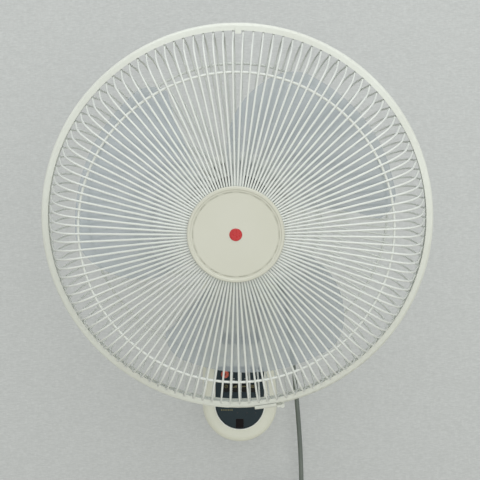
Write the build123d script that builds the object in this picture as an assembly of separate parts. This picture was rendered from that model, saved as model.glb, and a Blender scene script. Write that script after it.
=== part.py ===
"""Wall mounted fan: a base that hooks on a wall plate, a tilting neck, and a swinging head
with a wire guard, a three-blade impeller and its motor.

Millimetres. X is to the right, Y into the wall and Z up. The origin is the centre of the
wall plate's screw pattern, on the wall. The head is drawn upright about its own axis, with
its origin at the centre of the guard ring, and is then set in place, tilted down.
"""
from build123d import *
from math import acos, atan2, cos, degrees, pi, radians, sin, sqrt, tan
import os

# ------------------------------------------------------------------ driving dimensions
FIT = 0.05                # radial clearance of a running fit
GAP = 0.3                 # clearance round parts that pass or sit near each other

# head: place and tilt
RING_Y = -285.0           # centre of the guard ring, in front of the wall
RING_Z = 160.0            # and above the wall plate's centre
TILT_REST = 12.0          # the head looks down by this angle, degrees

# guard
RING_R = 225.0            # outer radius of the guard ring
RING_WALL = 2.9           # radial thickness of the ring behind the rim wires
RING_SIDE = 1.4           # thickness of the ring's two sides
RIM_WIRE_R = 2.0          # rim wires of both guards
RIM_APART = 0.7           # gap between the two rim wires
SPOKE_WIRE_R = 1.15
MID_WIRE_R = 1.5
SPOKES = 120
SPOKE_START = -0.9        # turn of the first spoke about the head's axis, degrees
HOOK_ANGLE = 0.6          # turn of the hook from the top, midway between two spokes
FRONT_CORNER = (203.0, 58.0)      # radius and distance forward where a front spoke turns
FRONT_INNER = (46.0, 76.15)       # inner end of a front spoke
FRONT_MID_R = 175.0
FRONT_HUB_R = 48.0                # radius of the wire ring under the centre cap
FRONT_BEND = 30.0                 # bend radius of a front spoke
REAR_CORNER = (204.0, -39.5)
REAR_INNER = (47.0, -46.0)
REAR_MID_R = 176.5
REAR_BEND = 24.0
RIM_BEND = 4.0            # bend radius where a spoke leaves the rim wire
RIM_INSET = 7.0           # straight start of a spoke, inwards from the rim wire
GUARD_PLATE_R = 50.0      # steel plate in the middle of the rear guard
GUARD_PLATE_T = 1.4
WELD = 0.4                # depth to which crossing wires are welded

# guard ring and its latch
RING_LIP = 1.0            # the ring's sides reach this far inwards past the rim wires
RING_ROUND = 3.0          # rounding of the ring's outer edges
CLIP_ANGLE = -76.5        # hinge of the latch, about the head's axis; 0 is to the right
CLIP_SPAN = 8.0           # angle that its lever covers
CLIP_T = 2.6
CLIP_EAR_GAP = 0.25
CLIP_EAR_T = 2.2
CLIP_EAR_R = 2.3
CLIP_PIN_R = 1.0
CLIP_PIN_OUT = 3.2        # pin's distance outside the ring
CLIP_LUG_HALF = 3.0       # half the width of the lug between the latch's ears
CLIP_LUG_R = 2.4
HOOK_HALF_W = 3.3
HOOK_T = 1.6
HOOK_REACH = 3.5          # how far the hook comes in past the ring's side

# centre cap
CAP_R = 53.5
CAP_DEPTH = 3.7           # from its rear edge, over the spokes, to its rim
CAP_RIM = 4.0             # width of the raised rim
CAP_DISH = 0.9            # the face lies this much behind the rim
CAP_GROOVE_R = 47.2
CAP_GROOVE_W = 1.5
CAP_GROOVE_SLOTS = 18
CAP_WALL = 2.0
CAP_SKIRT_T = 1.2
CAP_GROOVE_T = 1.4        # wall left under the groove
CAP_SLOT_SHARE = 0.55     # share of the groove that its slots take
CAP_BASE_T = 1.8
CAP_BASE_BORE = 8.0
CAP_POST_CIRCLE = 30.0    # the cap's three posts stand on this circle
CAP_POST_R = 3.0
CAP_POST_TIP_R = 1.6
CAP_POST_ANGLES = (90, 210, 330)
BADGE_R = 7.0
BADGE_T = 1.0
BADGE_SINK = 0.3          # depth of its pocket

# blades
BLADES = 3
BLADE_TIP_R = 186.0
BLADE_T = 2.0
BLADE_REAR = -28.0        # distance forward of the leading edge
BLADE_FRONT = 26.0        # and of the trailing edge
BLADE_START = 2.0         # angle of the leading edge of the first blade
BLADE_SPAN = 98.0         # angle from the leading to the trailing edge
HUB_R = 30.0
HUB_REAR = -27.0
HUB_FRONT = 18.0
HUB_WALL = 2.6
HUB_BOSS_R = 9.0
HUB_EDGE = 4.0            # bevel of its front edge
DRIVE_PIN_R = 1.5
DRIVE_PIN_HALF = 8.0
DRIVE_PIN_IN = 3.0        # from the hub's rear end to the pin
SHAFT_SHORT = 10.0        # the shaft ends this far past the hub's face
SHAFT_PAST = 12.0         # and this far behind the rear winding's bell
NUT_R = 13.0
NUT_LENGTH = 14.0

# motor
SHAFT_R = 4.0
COVER_R = 62.0            # outer radius of the motor covers
COVER_WALL = 2.4
COVER_SPLIT = 64.0        # distance behind the ring where the two covers meet
COVER_END = 152.0         # rear end of the motor cover
COVER_ROUND = 26.0        # radius of its rear edge
THREAD_BOSS_R = 14.0      # boss that carries the rear guard and its nut
THREAD_BOSS_LENGTH = 9.0
GUARD_NUT_R = 25.0
GUARD_NUT_T = 6.0
STATOR_R = 44.0
STATOR_BORE_R = 23.3
STATOR_LENGTH = 28.0
STATOR_Y = 70.0           # front face of the stator
ROTOR_R = 22.8
WINDING_LENGTH = 6.0
BELL_WALL = 2.6
BELL_GRIP = 3.0           # how far an end bell reaches over the stator
BOLT_CIRCLE_R = STATOR_R + 6.0
BOLT_ANGLES = (30, 150, 210, 330)
FACE_VENT = (COVER_R - 11.2, COVER_R - 5.6, 38.0)   # radii and span of the front vents
RIM_VENT = (COVER_R - 3.8, COVER_R - 0.6, 9.0)      # and of the row outside them
BEARING_R = 9.0
BEARING_SEAT = 5.0        # length of a bearing's seat outside its end bell
BEARING_GRIP = 2.4        # wall of that seat
PILLAR_R = 3.5            # pillars of the covers that the bells are screwed to
BOLT_R = 1.7
BOLT_HEAD_R = 3.0
BOLT_HEAD_T = 2.0
STATOR_SLOTS = 16
ROTOR_RING_T = 3.0

# swing gear under the motor
POST_Y = 110.0            # swing axis, behind the ring
POST_R = 5.5
BRACKET_HALF_W = 31.0
BRACKET_FRONT = 52.0
BRACKET_REAR = 136.0
BRACKET_WALL = 2.5
BRACKET_DECK = -COVER_R - 4       # underside of the plate that carries the swing motor
BRACKET_BOTTOM = BRACKET_DECK - 24
NECK_TOP = BRACKET_BOTTOM - 1     # top face of the neck, below the motor axis
SOCKET_R = 11.0           # socket of the head that turns on the post
SOCKET_TOP = BRACKET_DECK + 12
CRANK_THROW = 10.0
ANCHOR_X = 14.0           # link anchor, beside the swing axis
LINK_LENGTH = 40.0
CRANK_PIN_R = 2.0
CRANK_EYE_CLEARANCE = 2.2 # the linkage is open here, and the eye is wide enough for that
SWING_MOTOR_R = 22.0
SWING_MOTOR_T = 13.0
SOCKET_DROP = 16.0        # the socket reaches this far under the deck
POST_ROOM = 3.2           # room in the motor cover round the socket
POST_COLLAR = 3.0         # the collar and flange stand out from the post by these
POST_FLANGE = 1.7
POST_COLLAR_T = 2.5
POST_SUNK = 10.0          # depth of the post in the neck
DECK_ROUND = 12.0
SWING_SHAFT_R = 2.5
SWING_SHAFT_LENGTH = 2.6
CRANK_T = 2.5
LINK_T = 2.0
LINK_HALF_W = 3.2
LINK_EYE_WALL = 2.0
ANCHOR_R = 2.0
ANCHOR_SUNK = 5.0

# neck
TILT_Y = -46.0            # tilt axis, in front of the wall
TILT_Z = 34.0
NECK_HUB_R = 22.0
NECK_HALF_W = 22.0
NECK_WALL = 3.2
NECK_BOSS_R = 22.0
NECK_BOSS_T = 16.0
TILT_PIN_R = 5.0
NECK_SCREW_X = 12.0
NECK_SCREW_ROWS = (22.0, 52.0, 84.0)   # up the slope from the neck's foot
NECK_SCREW_R = 1.6
NECK_COVER_HALF_W = 17.0
NECK_COVER_T = 2.2
NECK_COVER_START = 10.0
NECK_COVER_END = 8.0
NECK_COVER_ROUND = 2.0
NECK_COVER_LEDGE = 2.2    # the cover rests on a ledge this wide
NECK_ROUND = 3.0          # rounding of the arm's edges
NECK_EYE_WALL = 5.0       # wall round the tilt pin
NECK_SEAT_WALL = 6.0      # and round the post
NECK_PILLAR_R = 3.4
NECK_HEAD_R = 2.8         # heads of the cover's screws, and their pockets
NECK_HEAD_T = 0.8
NECK_HEAD_SINK = 1.2
NECK_SCREW_BITE = 7.0
NECK_FOOT_SHARE = 0.72    # the lowest pair of screws stands closer together

# base
BASE_HALF_W = 49.25
BASE_BOTTOM = -129.0
BASE_TOP = 96.0
BASE_DEPTH = 62.0
BASE_WALL = 2.5
BASE_TOP_ROUND = 15.0
BASE_EDGE_ROUND = 7.0
SLOT_HALF_W = 26.0        # recess for the neck
SLOT_FLOOR = 0.0
SLOT_BACK = -12.0
SKIRT_Y = -0.6            # the housing stops this far from the wall
SLOT_ROUND = 8.0          # rounding of the recess's lower corners, outside
PIN_END = 37.0            # half the length of the tilt pin between its head and nut
PIN_BOSS_WALL = 4.0
PIN_HEAD_T = 3.0
TILT_NUT_R = 8.0
TILT_NUT_T = 5.0
BRACKET_PLATE_T = 2.0
BACK_T = 3.0
CASE_POST_X = 40.0        # posts for the back cover's screws
CASE_POST_ZS = (72.0, -70.0)
CASE_POST_R = 3.6
CASE_SCREW_R = 1.5
CASE_HEAD_R = 3.2
CASE_HEAD_T = 1.4
CASE_SCREW_BITE = 9.0

# wall plate
WALL_HOLE_R = 2.75
WALL_SPACING_X = 40.0
WALL_SPACING_Z = 70.0
PLATE_HALF_W = 30.0
PLATE_HALF_H = 46.0
PLATE_ROUND = 5.0
PLATE_HOOK_X = 20.0       # its two hooks, either side of the middle
PLATE_HOOK_HALF_W = 6.0
PLATE_HOOK_Z = 4.0
PLATE_HOOK_RISE = 8.0
PLATE_HOOK_ROOM = 0.6     # room round a hook in the back cover's slot

# control panel
PANEL_HALF_W = 32.3
PANEL_TOP = -29.0
PANEL_T = 1.2
PANEL_ROUND = 4.0
LIP_W = 1.4
LIP_H = 0.8
OFF_POS = (-19.5, -39.7)
OFF_R = 5.0
KEY_XS = (-17.8, -6.2, 5.4, 17.0)
KEY_Z = -57.9
KEY_W = 8.0
KEY_H = 10.0
KEY_PROUD = 0.7
KEY_TRAVEL = 1.0
KEY_FLANGE = 1.2
LENS_XS = (-8.0, 0.0, 8.0)
LENS_Z = -48.6
LENS_R = 1.3
WINDOW_Z = -104.5
WINDOW_W = 10.2
WINDOW_H = 12.0
BOARD_Y = -45.0           # rear face of the circuit board
BOARD_T = 1.6
SWITCH_SIZE = 6.0
SWITCH_T = 3.6
PLUNGER_R = 1.7
PLUNGER_T = 1.4
STEM_R = 1.5              # stem behind a button
KEY_EDGE = 0.6            # rounding of the buttons' front edges
KEY_FLANGE_OUT = 0.8
OFF_FLANGE_OUT = 0.9
BOARD_INSET = 2.2         # the board is this much smaller than the panel all round
BOARD_POSTS = [(-27.0, -34.0), (27.0, -34.0), (-24.0, -92.0), (24.0, -92.0)]
BOARD_POST_R = 2.8
BOARD_SCREW_R = 1.25
BOARD_SCREW_BITE = 6.0
BOARD_HEAD_R = 2.6
BOARD_HEAD_T = 1.8
PANEL_SINK = 0.2          # the panel's face lies this far behind the housing's
PANEL_FIT = 0.15
SUPPLY_HALF_W = 28.0      # supply board
SUPPLY_LOW = -70.0
SUPPLY_HIGH = -14.0
SUPPLY_T = 1.6
SUPPLY_GAP = 5.0          # its pillars' height

# cord
CORD_R = 3.1
CORD_Y = -20.0            # the cord hangs this far in front of the wall
GLAND_EXIT = (49.25, 79.6)        # where its axis crosses the base's side
GLAND_ANGLE = 50.0        # its direction there, below the horizontal, degrees
GLAND_BEND = 34.0         # radius of its curve
GLAND_TURN = 24.0         # and the angle that it turns down by
GLAND_COLLAR_R = 5.4
GLAND_TAPER_R = 5.0       # start of the tapered part, outside the base
GLAND_INSIDE = 9.0        # straight collar inside the base
GLAND_OUTSIDE = 6.6       # and through its side
GLAND_TIP_WALL = 0.8      # wall of the gland round the cord at its tip
COIL_X = 83.0             # the cord runs into the coil here
COIL_MEAN_R = 34.0
COIL_PITCH = 6.8          # from turn to turn and from layer to layer
COIL_TOP_Z = -240.0       # height at which the cord runs into its first turn
COIL_LEAD = 12.0          # straight start and end of the coil's tube
TIE_T = 1.2
TIE_HALF_W = 4.0
PLUG_NECK = 16.0
PLUG_BODY = 22.0
PLUG_HALF_W = 12.0
PLUG_HALF_T = 8.0
PIN_SPACING = 12.7
PIN_W = 6.2
PIN_T = 1.5
PIN_LENGTH = 16.0
TAIL_LENGTH = 48.0

# route of the cord's free stretch, seen from the front: x and z
CORD_ROUTE = [(61.8, 56.2), (63.2, 45.2), (64.7, 31.4), (66.3, 15.0), (68.5, -4.0), (71.1, -25.0),
              (73.6, -48.0), (76.0, -73.0), (78.2, -99.0), (80.1, -125.0), (81.6, -151.0),
              (82.6, -178.0), (83.0, -204.0)]

HEAD = Pos(0, RING_Y, RING_Z) * Rot(TILT_REST, 0, 0)


# ------------------------------------------------------------------ helpers
def to_head(y, z):
    """A point of the world's YZ plane in the head's frame."""
    dy, dz = y - RING_Y, z - RING_Z
    c, s = cos(radians(TILT_REST)), sin(radians(TILT_REST))
    return dy * c + dz * s, -dy * s + dz * c


def polar(radius, angle):
    return radius * cos(radians(angle)), radius * sin(radians(angle))


def turned(*points):
    """A solid of revolution about the head's axis, from points (radius, distance behind)."""
    return revolve(make_face(Polyline(*points, close=True)), Axis.Y, 360)


def tube_y(outer, inner, front, rear):
    return turned((inner, front), (outer, front), (outer, rear), (inner, rear))


def disc_y(radius, front, rear):
    return turned((0, front), (radius, front), (radius, rear), (0, rear))


def block(x0, x1, y0, y1, z0, z1):
    return Pos((x0 + x1) / 2, (y0 + y1) / 2, (z0 + z1) / 2) * Box(x1 - x0, y1 - y0, z1 - z0)


def rod(radius, start, end):
    """A round bar from one point to another."""
    line = Vector(*end) - Vector(*start)
    return extrude(Plane(origin=start, z_dir=line) * Circle(radius), line.length)


def around_axis(shape, count, start=0.0):
    """Copies of a shape about the head's axis."""
    return [shape.rotate(Axis.Y, start + 360.0 / count * i) for i in range(count)]


# ------------------------------------------------------------------ guards
RIM_R = RING_R - RING_WALL - RIM_WIRE_R - GAP
RIM_U = RIM_WIRE_R + RIM_APART / 2      # the two rims stand this far either side of the middle


def spoke_path(corner, inner, bend, side):
    """Centre line of a spoke, in radius and distance forward; side is 1 in front, -1 behind."""
    rim_u = side * RIM_U
    start = (RIM_R, rim_u)
    leave = (RIM_R - RIM_INSET, rim_u)
    points = [start, leave, corner, inner]
    return FilletPolyline(*[(r, -u, 0) for r, u in points], radius=[RIM_BEND, bend])


def on_spoke(corner, inner, radius):
    """Distance forward of a spoke's centre line at a radius."""
    share = (radius - corner[0]) / (inner[0] - corner[0])
    return corner[1] + share * (inner[1] - corner[1])


def ring_arc(section):
    """One spoke's share of a body of revolution, from its section in the XY plane."""
    return revolve(section, Axis.Y, 360 / SPOKES).rotate(Axis.Y, -180 / SPOKES)


def wire_arc(radius, forward, wire_r):
    return ring_arc(Plane(origin=(radius, -forward, 0), z_dir=(0, 0, 1)) * Circle(wire_r))


def is_cut(face):
    """Whether a face of one spoke's share lies on the plane where the next share begins."""
    centre = face.center()
    at_edge = abs(abs(atan2(centre.Z, centre.X)) - radians(180 / SPOKES)) < 1e-6
    return face.geom_type == GeomType.PLANE and at_edge


def guard_wires(corner, inner, bend, side, arcs):
    """A guard in one piece: one spoke, welded to its share of the rings, repeated and joined."""
    path = spoke_path(corner, inner, bend, side)
    start = Plane(origin=path @ 0, z_dir=path % 0)
    share = sweep(start * Circle(SPOKE_WIRE_R), path=path).fuse(*arcs)
    skin = [face for face in share.faces() if not is_cut(face)]
    turns = [SPOKE_START + 360 / SPOKES * i for i in range(SPOKES)]
    return Solid(Shell([face.rotate(Axis.Y, turn) for turn in turns for face in skin]))


def front_guard():
    behind = SPOKE_WIRE_R + MID_WIRE_R - WELD
    mid = on_spoke(FRONT_CORNER, FRONT_INNER, FRONT_MID_R) - behind
    hub = on_spoke(FRONT_CORNER, FRONT_INNER, FRONT_HUB_R) - behind
    arcs = [wire_arc(RIM_R, RIM_U, RIM_WIRE_R), wire_arc(FRONT_MID_R, mid, MID_WIRE_R),
            wire_arc(FRONT_HUB_R, hub, MID_WIRE_R)]
    return guard_wires(FRONT_CORNER, FRONT_INNER, FRONT_BEND, 1, arcs)


def rear_guard():
    """Rear guard, with the steel plate in its middle that the motor's nut clamps."""
    behind = SPOKE_WIRE_R + MID_WIRE_R - WELD
    mid = on_spoke(REAR_CORNER, REAR_INNER, REAR_MID_R) - behind
    bore, rear = THREAD_BOSS_R + GAP, PLATE_FRONT + GUARD_PLATE_T
    plate = ring_arc(make_face(Polyline((bore, PLATE_FRONT), (GUARD_PLATE_R, PLATE_FRONT),
                                        (GUARD_PLATE_R, rear), (bore, rear), close=True)))
    arcs = [wire_arc(RIM_R, -RIM_U, RIM_WIRE_R), wire_arc(REAR_MID_R, mid, MID_WIRE_R), plate]
    return guard_wires(REAR_CORNER, REAR_INNER, REAR_BEND, -1, arcs)


PLATE_FRONT = -on_spoke(REAR_CORNER, REAR_INNER, GUARD_PLATE_R) + SPOKE_WIRE_R - WELD


def arc_slot(inner_r, outer_r, span, front, rear):
    """A curved slot about the head's axis, centred on the direction of +X."""
    ends = [polar(outer_r, -span / 2), polar(outer_r, span / 2)]
    starts = [polar(inner_r, -span / 2), polar(inner_r, span / 2)]
    outline = (ThreePointArc(ends[0], (outer_r, 0), ends[1]) + Line(ends[1], starts[1])
               + ThreePointArc(starts[1], (inner_r, 0), starts[0]) + Line(starts[0], ends[0]))
    return extrude(Plane.XZ.offset(-rear) * make_face(outline), rear - front)


# ------------------------------------------------------------------ guard ring and its latch
RING_IN_R = RIM_R - RIM_WIRE_R - RING_LIP
RING_HALF = RIM_U + RIM_WIRE_R + GAP + RING_SIDE
CLIP_PIN_AT = RING_R + CLIP_PIN_OUT


def guard_ring():
    inner_r = RING_IN_R
    channel_r = RING_R - RING_WALL
    half = RING_HALF - RING_SIDE
    band = turned((inner_r, -RING_HALF), (RING_R, -RING_HALF), (RING_R, RING_HALF),
                  (inner_r, RING_HALF), (inner_r, half), (channel_r, half),
                  (channel_r, -half), (inner_r, -half))
    circles = band.edges().filter_by(GeomType.CIRCLE)
    rims = circles.filter_by(lambda edge: abs(edge.radius - RING_R) < 0.01)
    band = fillet(rims, RING_ROUND)
    lug = clip_lug().rotate(Axis.Y, -CLIP_ANGLE)
    return band + lug


def clip_lug():
    """Hinge lug of the latch, drawn at angle 0."""
    eye = rod(CLIP_LUG_R, (CLIP_PIN_AT, -CLIP_LUG_HALF, 0), (CLIP_PIN_AT, CLIP_LUG_HALF, 0))
    foot = block(RING_R - RING_WALL / 2, CLIP_PIN_AT, -CLIP_LUG_HALF, CLIP_LUG_HALF, -CLIP_LUG_R, CLIP_LUG_R)
    bore = rod(CLIP_PIN_R, (CLIP_PIN_AT, -CLIP_LUG_HALF, 0), (CLIP_PIN_AT, CLIP_LUG_HALF, 0))
    return eye + foot - bore


def clip_pin():
    half = CLIP_LUG_HALF + CLIP_EAR_GAP + CLIP_EAR_T + 0.2
    pin = rod(CLIP_PIN_R, (CLIP_PIN_AT, -half, 0), (CLIP_PIN_AT, half, 0))
    return pin.rotate(Axis.Y, -CLIP_ANGLE)


def guard_clip():
    """Latch that closes the ring: two ears on the pin and a lever along the ring."""
    ear_in = CLIP_LUG_HALF + CLIP_EAR_GAP
    ear_out = ear_in + CLIP_EAR_T
    lever_in = RING_R + GAP
    lever_out = lever_in + CLIP_T
    lever = turned((lever_in, -ear_out), (lever_out, -ear_out), (lever_out, ear_out),
                   (lever_in, ear_out))
    start, end = 1.6, CLIP_SPAN
    reach = lever_out + 4
    wedge_line = Polyline((0, 0), polar(reach, -start), polar(reach, -end), close=True)
    wedge = extrude(Plane.XZ.offset(-ear_out - 1) * make_face(wedge_line), 2 * ear_out + 2)
    clip = lever & wedge
    tip = polar((lever_in + lever_out) / 2 + 0.6, -CLIP_SPAN)
    clip += rod(CLIP_T / 2, (tip[0], -ear_out, tip[1]), (tip[0], ear_out, tip[1]))
    for side in (-1, 1):
        near, far = side * ear_in, side * ear_out
        ear = rod(CLIP_EAR_R, (CLIP_PIN_AT, near, 0), (CLIP_PIN_AT, far, 0))
        arm_to = polar(lever_out - 1.3, -start - 0.8)
        arm = block(lever_in, CLIP_PIN_AT + 0.2, min(near, far), max(near, far), arm_to[1], 0)
        clip += ear + arm
    for side in (-1, 1):
        near, far = side * (ear_in - 1), side * (ear_out + 1)
        clip -= rod(CLIP_PIN_R + FIT, (CLIP_PIN_AT, near, 0), (CLIP_PIN_AT, far, 0))
    return clip.rotate(Axis.Y, -CLIP_ANGLE)


def guard_hook():
    """Hook at the top of the ring that hangs the front guard while the latch is opened."""
    low, front = RING_IN_R - HOOK_REACH, -RING_HALF
    plate = block(-HOOK_HALF_W, HOOK_HALF_W, front - HOOK_T, front, low, RING_R - RING_ROUND - 1)
    tongue = block(-HOOK_HALF_W, HOOK_HALF_W, front, front + HOOK_REACH, low, low + 2)
    return (plate + tongue).rotate(Axis.Y, HOOK_ANGLE)


# ------------------------------------------------------------------ centre of the front guard
CAP_SKIRT = on_spoke(FRONT_CORNER, FRONT_INNER, CAP_R) + SPOKE_WIRE_R + GAP
CAP_FRONT = CAP_SKIRT + CAP_DEPTH
CAP_FACE = CAP_FRONT - CAP_DISH
HUB_WIRE_U = on_spoke(FRONT_CORNER, FRONT_INNER, FRONT_HUB_R) - SPOKE_WIRE_R - MID_WIRE_R + WELD
CAP_BASE_FRONT = HUB_WIRE_U - MID_WIRE_R - 0.2


def centre_cap():
    """Round cap with a raised rim, a groove with short slots and three snap posts."""
    front, face, skirt = -CAP_FRONT, -CAP_FACE, -CAP_SKIRT
    rim_in, skirt_in = CAP_R - CAP_RIM, CAP_R - CAP_SKIRT_T
    shell = turned((0, face), (rim_in, face), (rim_in + CAP_DISH, front), (CAP_R - CAP_DISH, front),
                   (CAP_R, front + CAP_DISH), (CAP_R, skirt), (skirt_in, skirt),
                   (skirt_in, face + CAP_WALL), (0, face + CAP_WALL))
    groove_in = CAP_GROOVE_R - CAP_GROOVE_W / 2
    groove_out = CAP_GROOVE_R + CAP_GROOVE_W / 2
    floor = face + CAP_WALL - CAP_GROOVE_T
    groove = turned((groove_in, front - 1), (groove_out, front - 1), (groove_out, floor),
                    (groove_in, floor))
    slot_span = CAP_SLOT_SHARE * 360 / CAP_GROOVE_SLOTS
    slot = arc_slot(groove_in + FIT, groove_out - FIT, slot_span, floor - 0.2, floor + CAP_GROOVE_T / 2)
    shell -= groove
    shell -= around_axis(slot, CAP_GROOVE_SLOTS)
    shoulder = -CAP_BASE_FRONT
    tip = shoulder + CAP_BASE_T + 1.6
    post = turned((0, face + 1), (CAP_POST_R, face + 1), (CAP_POST_R, shoulder),
                  (CAP_POST_TIP_R, shoulder), (CAP_POST_TIP_R, tip), (0, tip))
    shell = shell.fuse(*[Pos(x, 0, z) * post for x, z in cap_post_places()])
    return shell - disc_y(BADGE_R + 0.1, front - 1, face + BADGE_SINK)


def cap_post_places():
    return [polar(CAP_POST_CIRCLE, angle) for angle in CAP_POST_ANGLES]


def cap_base():
    """Plate behind the front guard that the cap's posts snap into."""
    front, outer = -CAP_BASE_FRONT, FRONT_HUB_R + 2 * MID_WIRE_R
    plate = tube_y(outer, CAP_BASE_BORE, front, front + CAP_BASE_T)
    for x, z in cap_post_places():
        plate -= rod(CAP_POST_TIP_R + FIT, (x, front - 1, z), (x, front + CAP_BASE_T + 1, z))
    return plate


def badge():
    rear = -CAP_FACE + BADGE_SINK
    front = rear - BADGE_T
    return turned((0, front), (BADGE_R - BADGE_T / 2, front), (BADGE_R, front + BADGE_T / 2),
                  (BADGE_R, rear), (0, rear))


# ------------------------------------------------------------------ blades and rotor
def blade_forward(angle):
    """Distance forward of the blade's middle surface at an angle past its leading edge."""
    share = angle / BLADE_SPAN
    return BLADE_REAR + (BLADE_FRONT - BLADE_REAR) * share


def blade_outline():
    """Planform of one blade, seen from the front, as a closed line in x and z."""
    lead = [polar(r, BLADE_START + a) for r, a in
            ((25, 13.0), (60, 7.5), (100, 3.5), (140, -0.5), (166, -3.2))]
    corner = polar(0.974 * BLADE_TIP_R, BLADE_START + 1.5)
    tip_start = polar(BLADE_TIP_R, BLADE_START + 9)
    tip_mid = polar(BLADE_TIP_R, BLADE_START + 34)
    tip_end = polar(BLADE_TIP_R, BLADE_START + 60)
    trail = [polar(r, BLADE_START + a) for r, a in
             ((183, 67.5), (175, 72.5), (157, 79.5), (139, 85.2), (118, 90.4), (67, 96.8), (25, 101))]
    return (Spline(*lead) + ThreePointArc(lead[-1], corner, tip_start)
            + ThreePointArc(tip_start, tip_mid, tip_end) + Spline(tip_end, *trail)
            + Line(trail[-1], lead[0]))


def blade():
    rows = []
    radii = [22 + 172 * i / 9 for i in range(10)]
    angles = [-16 + 134 * i / 13 for i in range(14)]
    for radius in radii:
        row = []
        for angle in angles:
            x, z = polar(radius, BLADE_START + angle)
            row.append(Vector(x, -blade_forward(angle) + BLADE_T / 2, z))
        rows.append(row)
    surface = Face.make_surface_from_array_of_points(rows)
    if surface.normal_at().Y > 0:
        surface = -surface
    plate = Solid.thicken(surface, BLADE_T)
    prism = extrude(Plane.XZ.offset(-60) * make_face(blade_outline()), 120)
    return plate & prism


def fan_blades():
    """Three blades and their hub, moulded in one."""
    hub = turned((SHAFT_R + FIT, -HUB_FRONT), (HUB_R - HUB_EDGE, -HUB_FRONT), (HUB_R, -HUB_FRONT + HUB_EDGE),
                 (HUB_R, -HUB_REAR), (HUB_R - HUB_WALL, -HUB_REAR),
                 (HUB_R - HUB_WALL, -HUB_FRONT + 5), (HUB_R - 5, -HUB_FRONT + HUB_WALL),
                 (HUB_BOSS_R, -HUB_FRONT + HUB_WALL), (HUB_BOSS_R, -HUB_REAR),
                 (SHAFT_R + FIT, -HUB_REAR))
    blank = blade()
    core = disc_y(HUB_R - HUB_WALL / 2, -60, 60)
    blank = blank - core
    body = hub
    for i in range(BLADES):
        body = body + blank.rotate(Axis.Y, -360 / BLADES * i)
    half = DRIVE_PIN_R + 2 * FIT
    slot = block(-HUB_R / 2, HUB_R / 2, PIN_Y - half, -HUB_REAR + 1, -half, half)
    return body - slot


PIN_Y = -HUB_REAR - DRIVE_PIN_IN
SHAFT_FRONT = -HUB_FRONT - SHAFT_SHORT
SHAFT_REAR = STATOR_Y + STATOR_LENGTH + BELL_WALL + WINDING_LENGTH + SHAFT_PAST


def motor_shaft():
    shaft = disc_y(SHAFT_R, SHAFT_FRONT, SHAFT_REAR)
    return shaft - drive_pin()


def drive_pin():
    return rod(DRIVE_PIN_R, (-DRIVE_PIN_HALF, PIN_Y, 0), (DRIVE_PIN_HALF, PIN_Y, 0))


def blade_nut():
    front = -HUB_FRONT - NUT_LENGTH
    nut = turned((0, front), (NUT_R - 4, front), (NUT_R - 1, front + 4), (NUT_R, -HUB_FRONT),
                 (SHAFT_R, -HUB_FRONT), (SHAFT_R, SHAFT_FRONT), (0, SHAFT_FRONT))
    flat = block(-1.2, 1.2, front - 1, front + 6, NUT_R - 2.2, NUT_R + 2)
    return nut - around_axis(flat, 12)


def rotor_core():
    core = tube_y(ROTOR_R, SHAFT_R, STATOR_Y, STATOR_Y + STATOR_LENGTH)
    end = STATOR_Y + STATOR_LENGTH
    for front, rear in ((STATOR_Y - ROTOR_RING_T, STATOR_Y), (end, end + ROTOR_RING_T)):
        core += tube_y(ROTOR_R - 1, ROTOR_R - 7, front, rear)
    return core


# ------------------------------------------------------------------ motor
COVER_FACE = PLATE_FRONT + GUARD_PLATE_T
BELL_FRONT_Y = STATOR_Y - WINDING_LENGTH - BELL_WALL - 1.0
BELL_REAR_Y = STATOR_Y + STATOR_LENGTH + WINDING_LENGTH + BELL_WALL + 1.0

def motor_front_cover():
    """Front of the motor: the face that carries the rear guard, with two rings of vents."""
    face, wall = COVER_FACE, COVER_WALL
    boss_end = face - THREAD_BOSS_LENGTH
    shell = turned((SHAFT_R + 3, boss_end), (THREAD_BOSS_R, boss_end),
                   (THREAD_BOSS_R, face), (COVER_R - 3, face), (COVER_R + 1, face + 4),
                   (COVER_R + 1, COVER_SPLIT), (COVER_R + 1 - wall, COVER_SPLIT),
                   (COVER_R + 1 - wall, face + 5), (COVER_R - 4, face + wall), (SHAFT_R + 3, face + wall))
    inner_vent = arc_slot(*FACE_VENT, face - 1, face + wall + 1)
    outer_vent = arc_slot(*RIM_VENT, face - 1, face + 6)
    shell -= around_axis(inner_vent, 6)
    shell -= around_axis(outer_vent, 24)
    for x, z in bolt_places():
        shell += rod(PILLAR_R, (x, face + wall, z), (x, BELL_FRONT_Y, z))
        shell -= rod(BOLT_R, (x, face + wall, z), (x, BELL_FRONT_Y + 1, z))
    return shell


def bolt_places():
    return [polar(BOLT_CIRCLE_R, angle) for angle in BOLT_ANGLES]


def rounded_can(inset, front):
    """Outline of the rear cover, or of its hollow: a can with a rounded rear edge."""
    can = disc_y(COVER_R - inset, front, COVER_END - inset)
    return fillet(can.edges().sort_by(Axis.Y)[-1], COVER_ROUND - inset)


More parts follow.
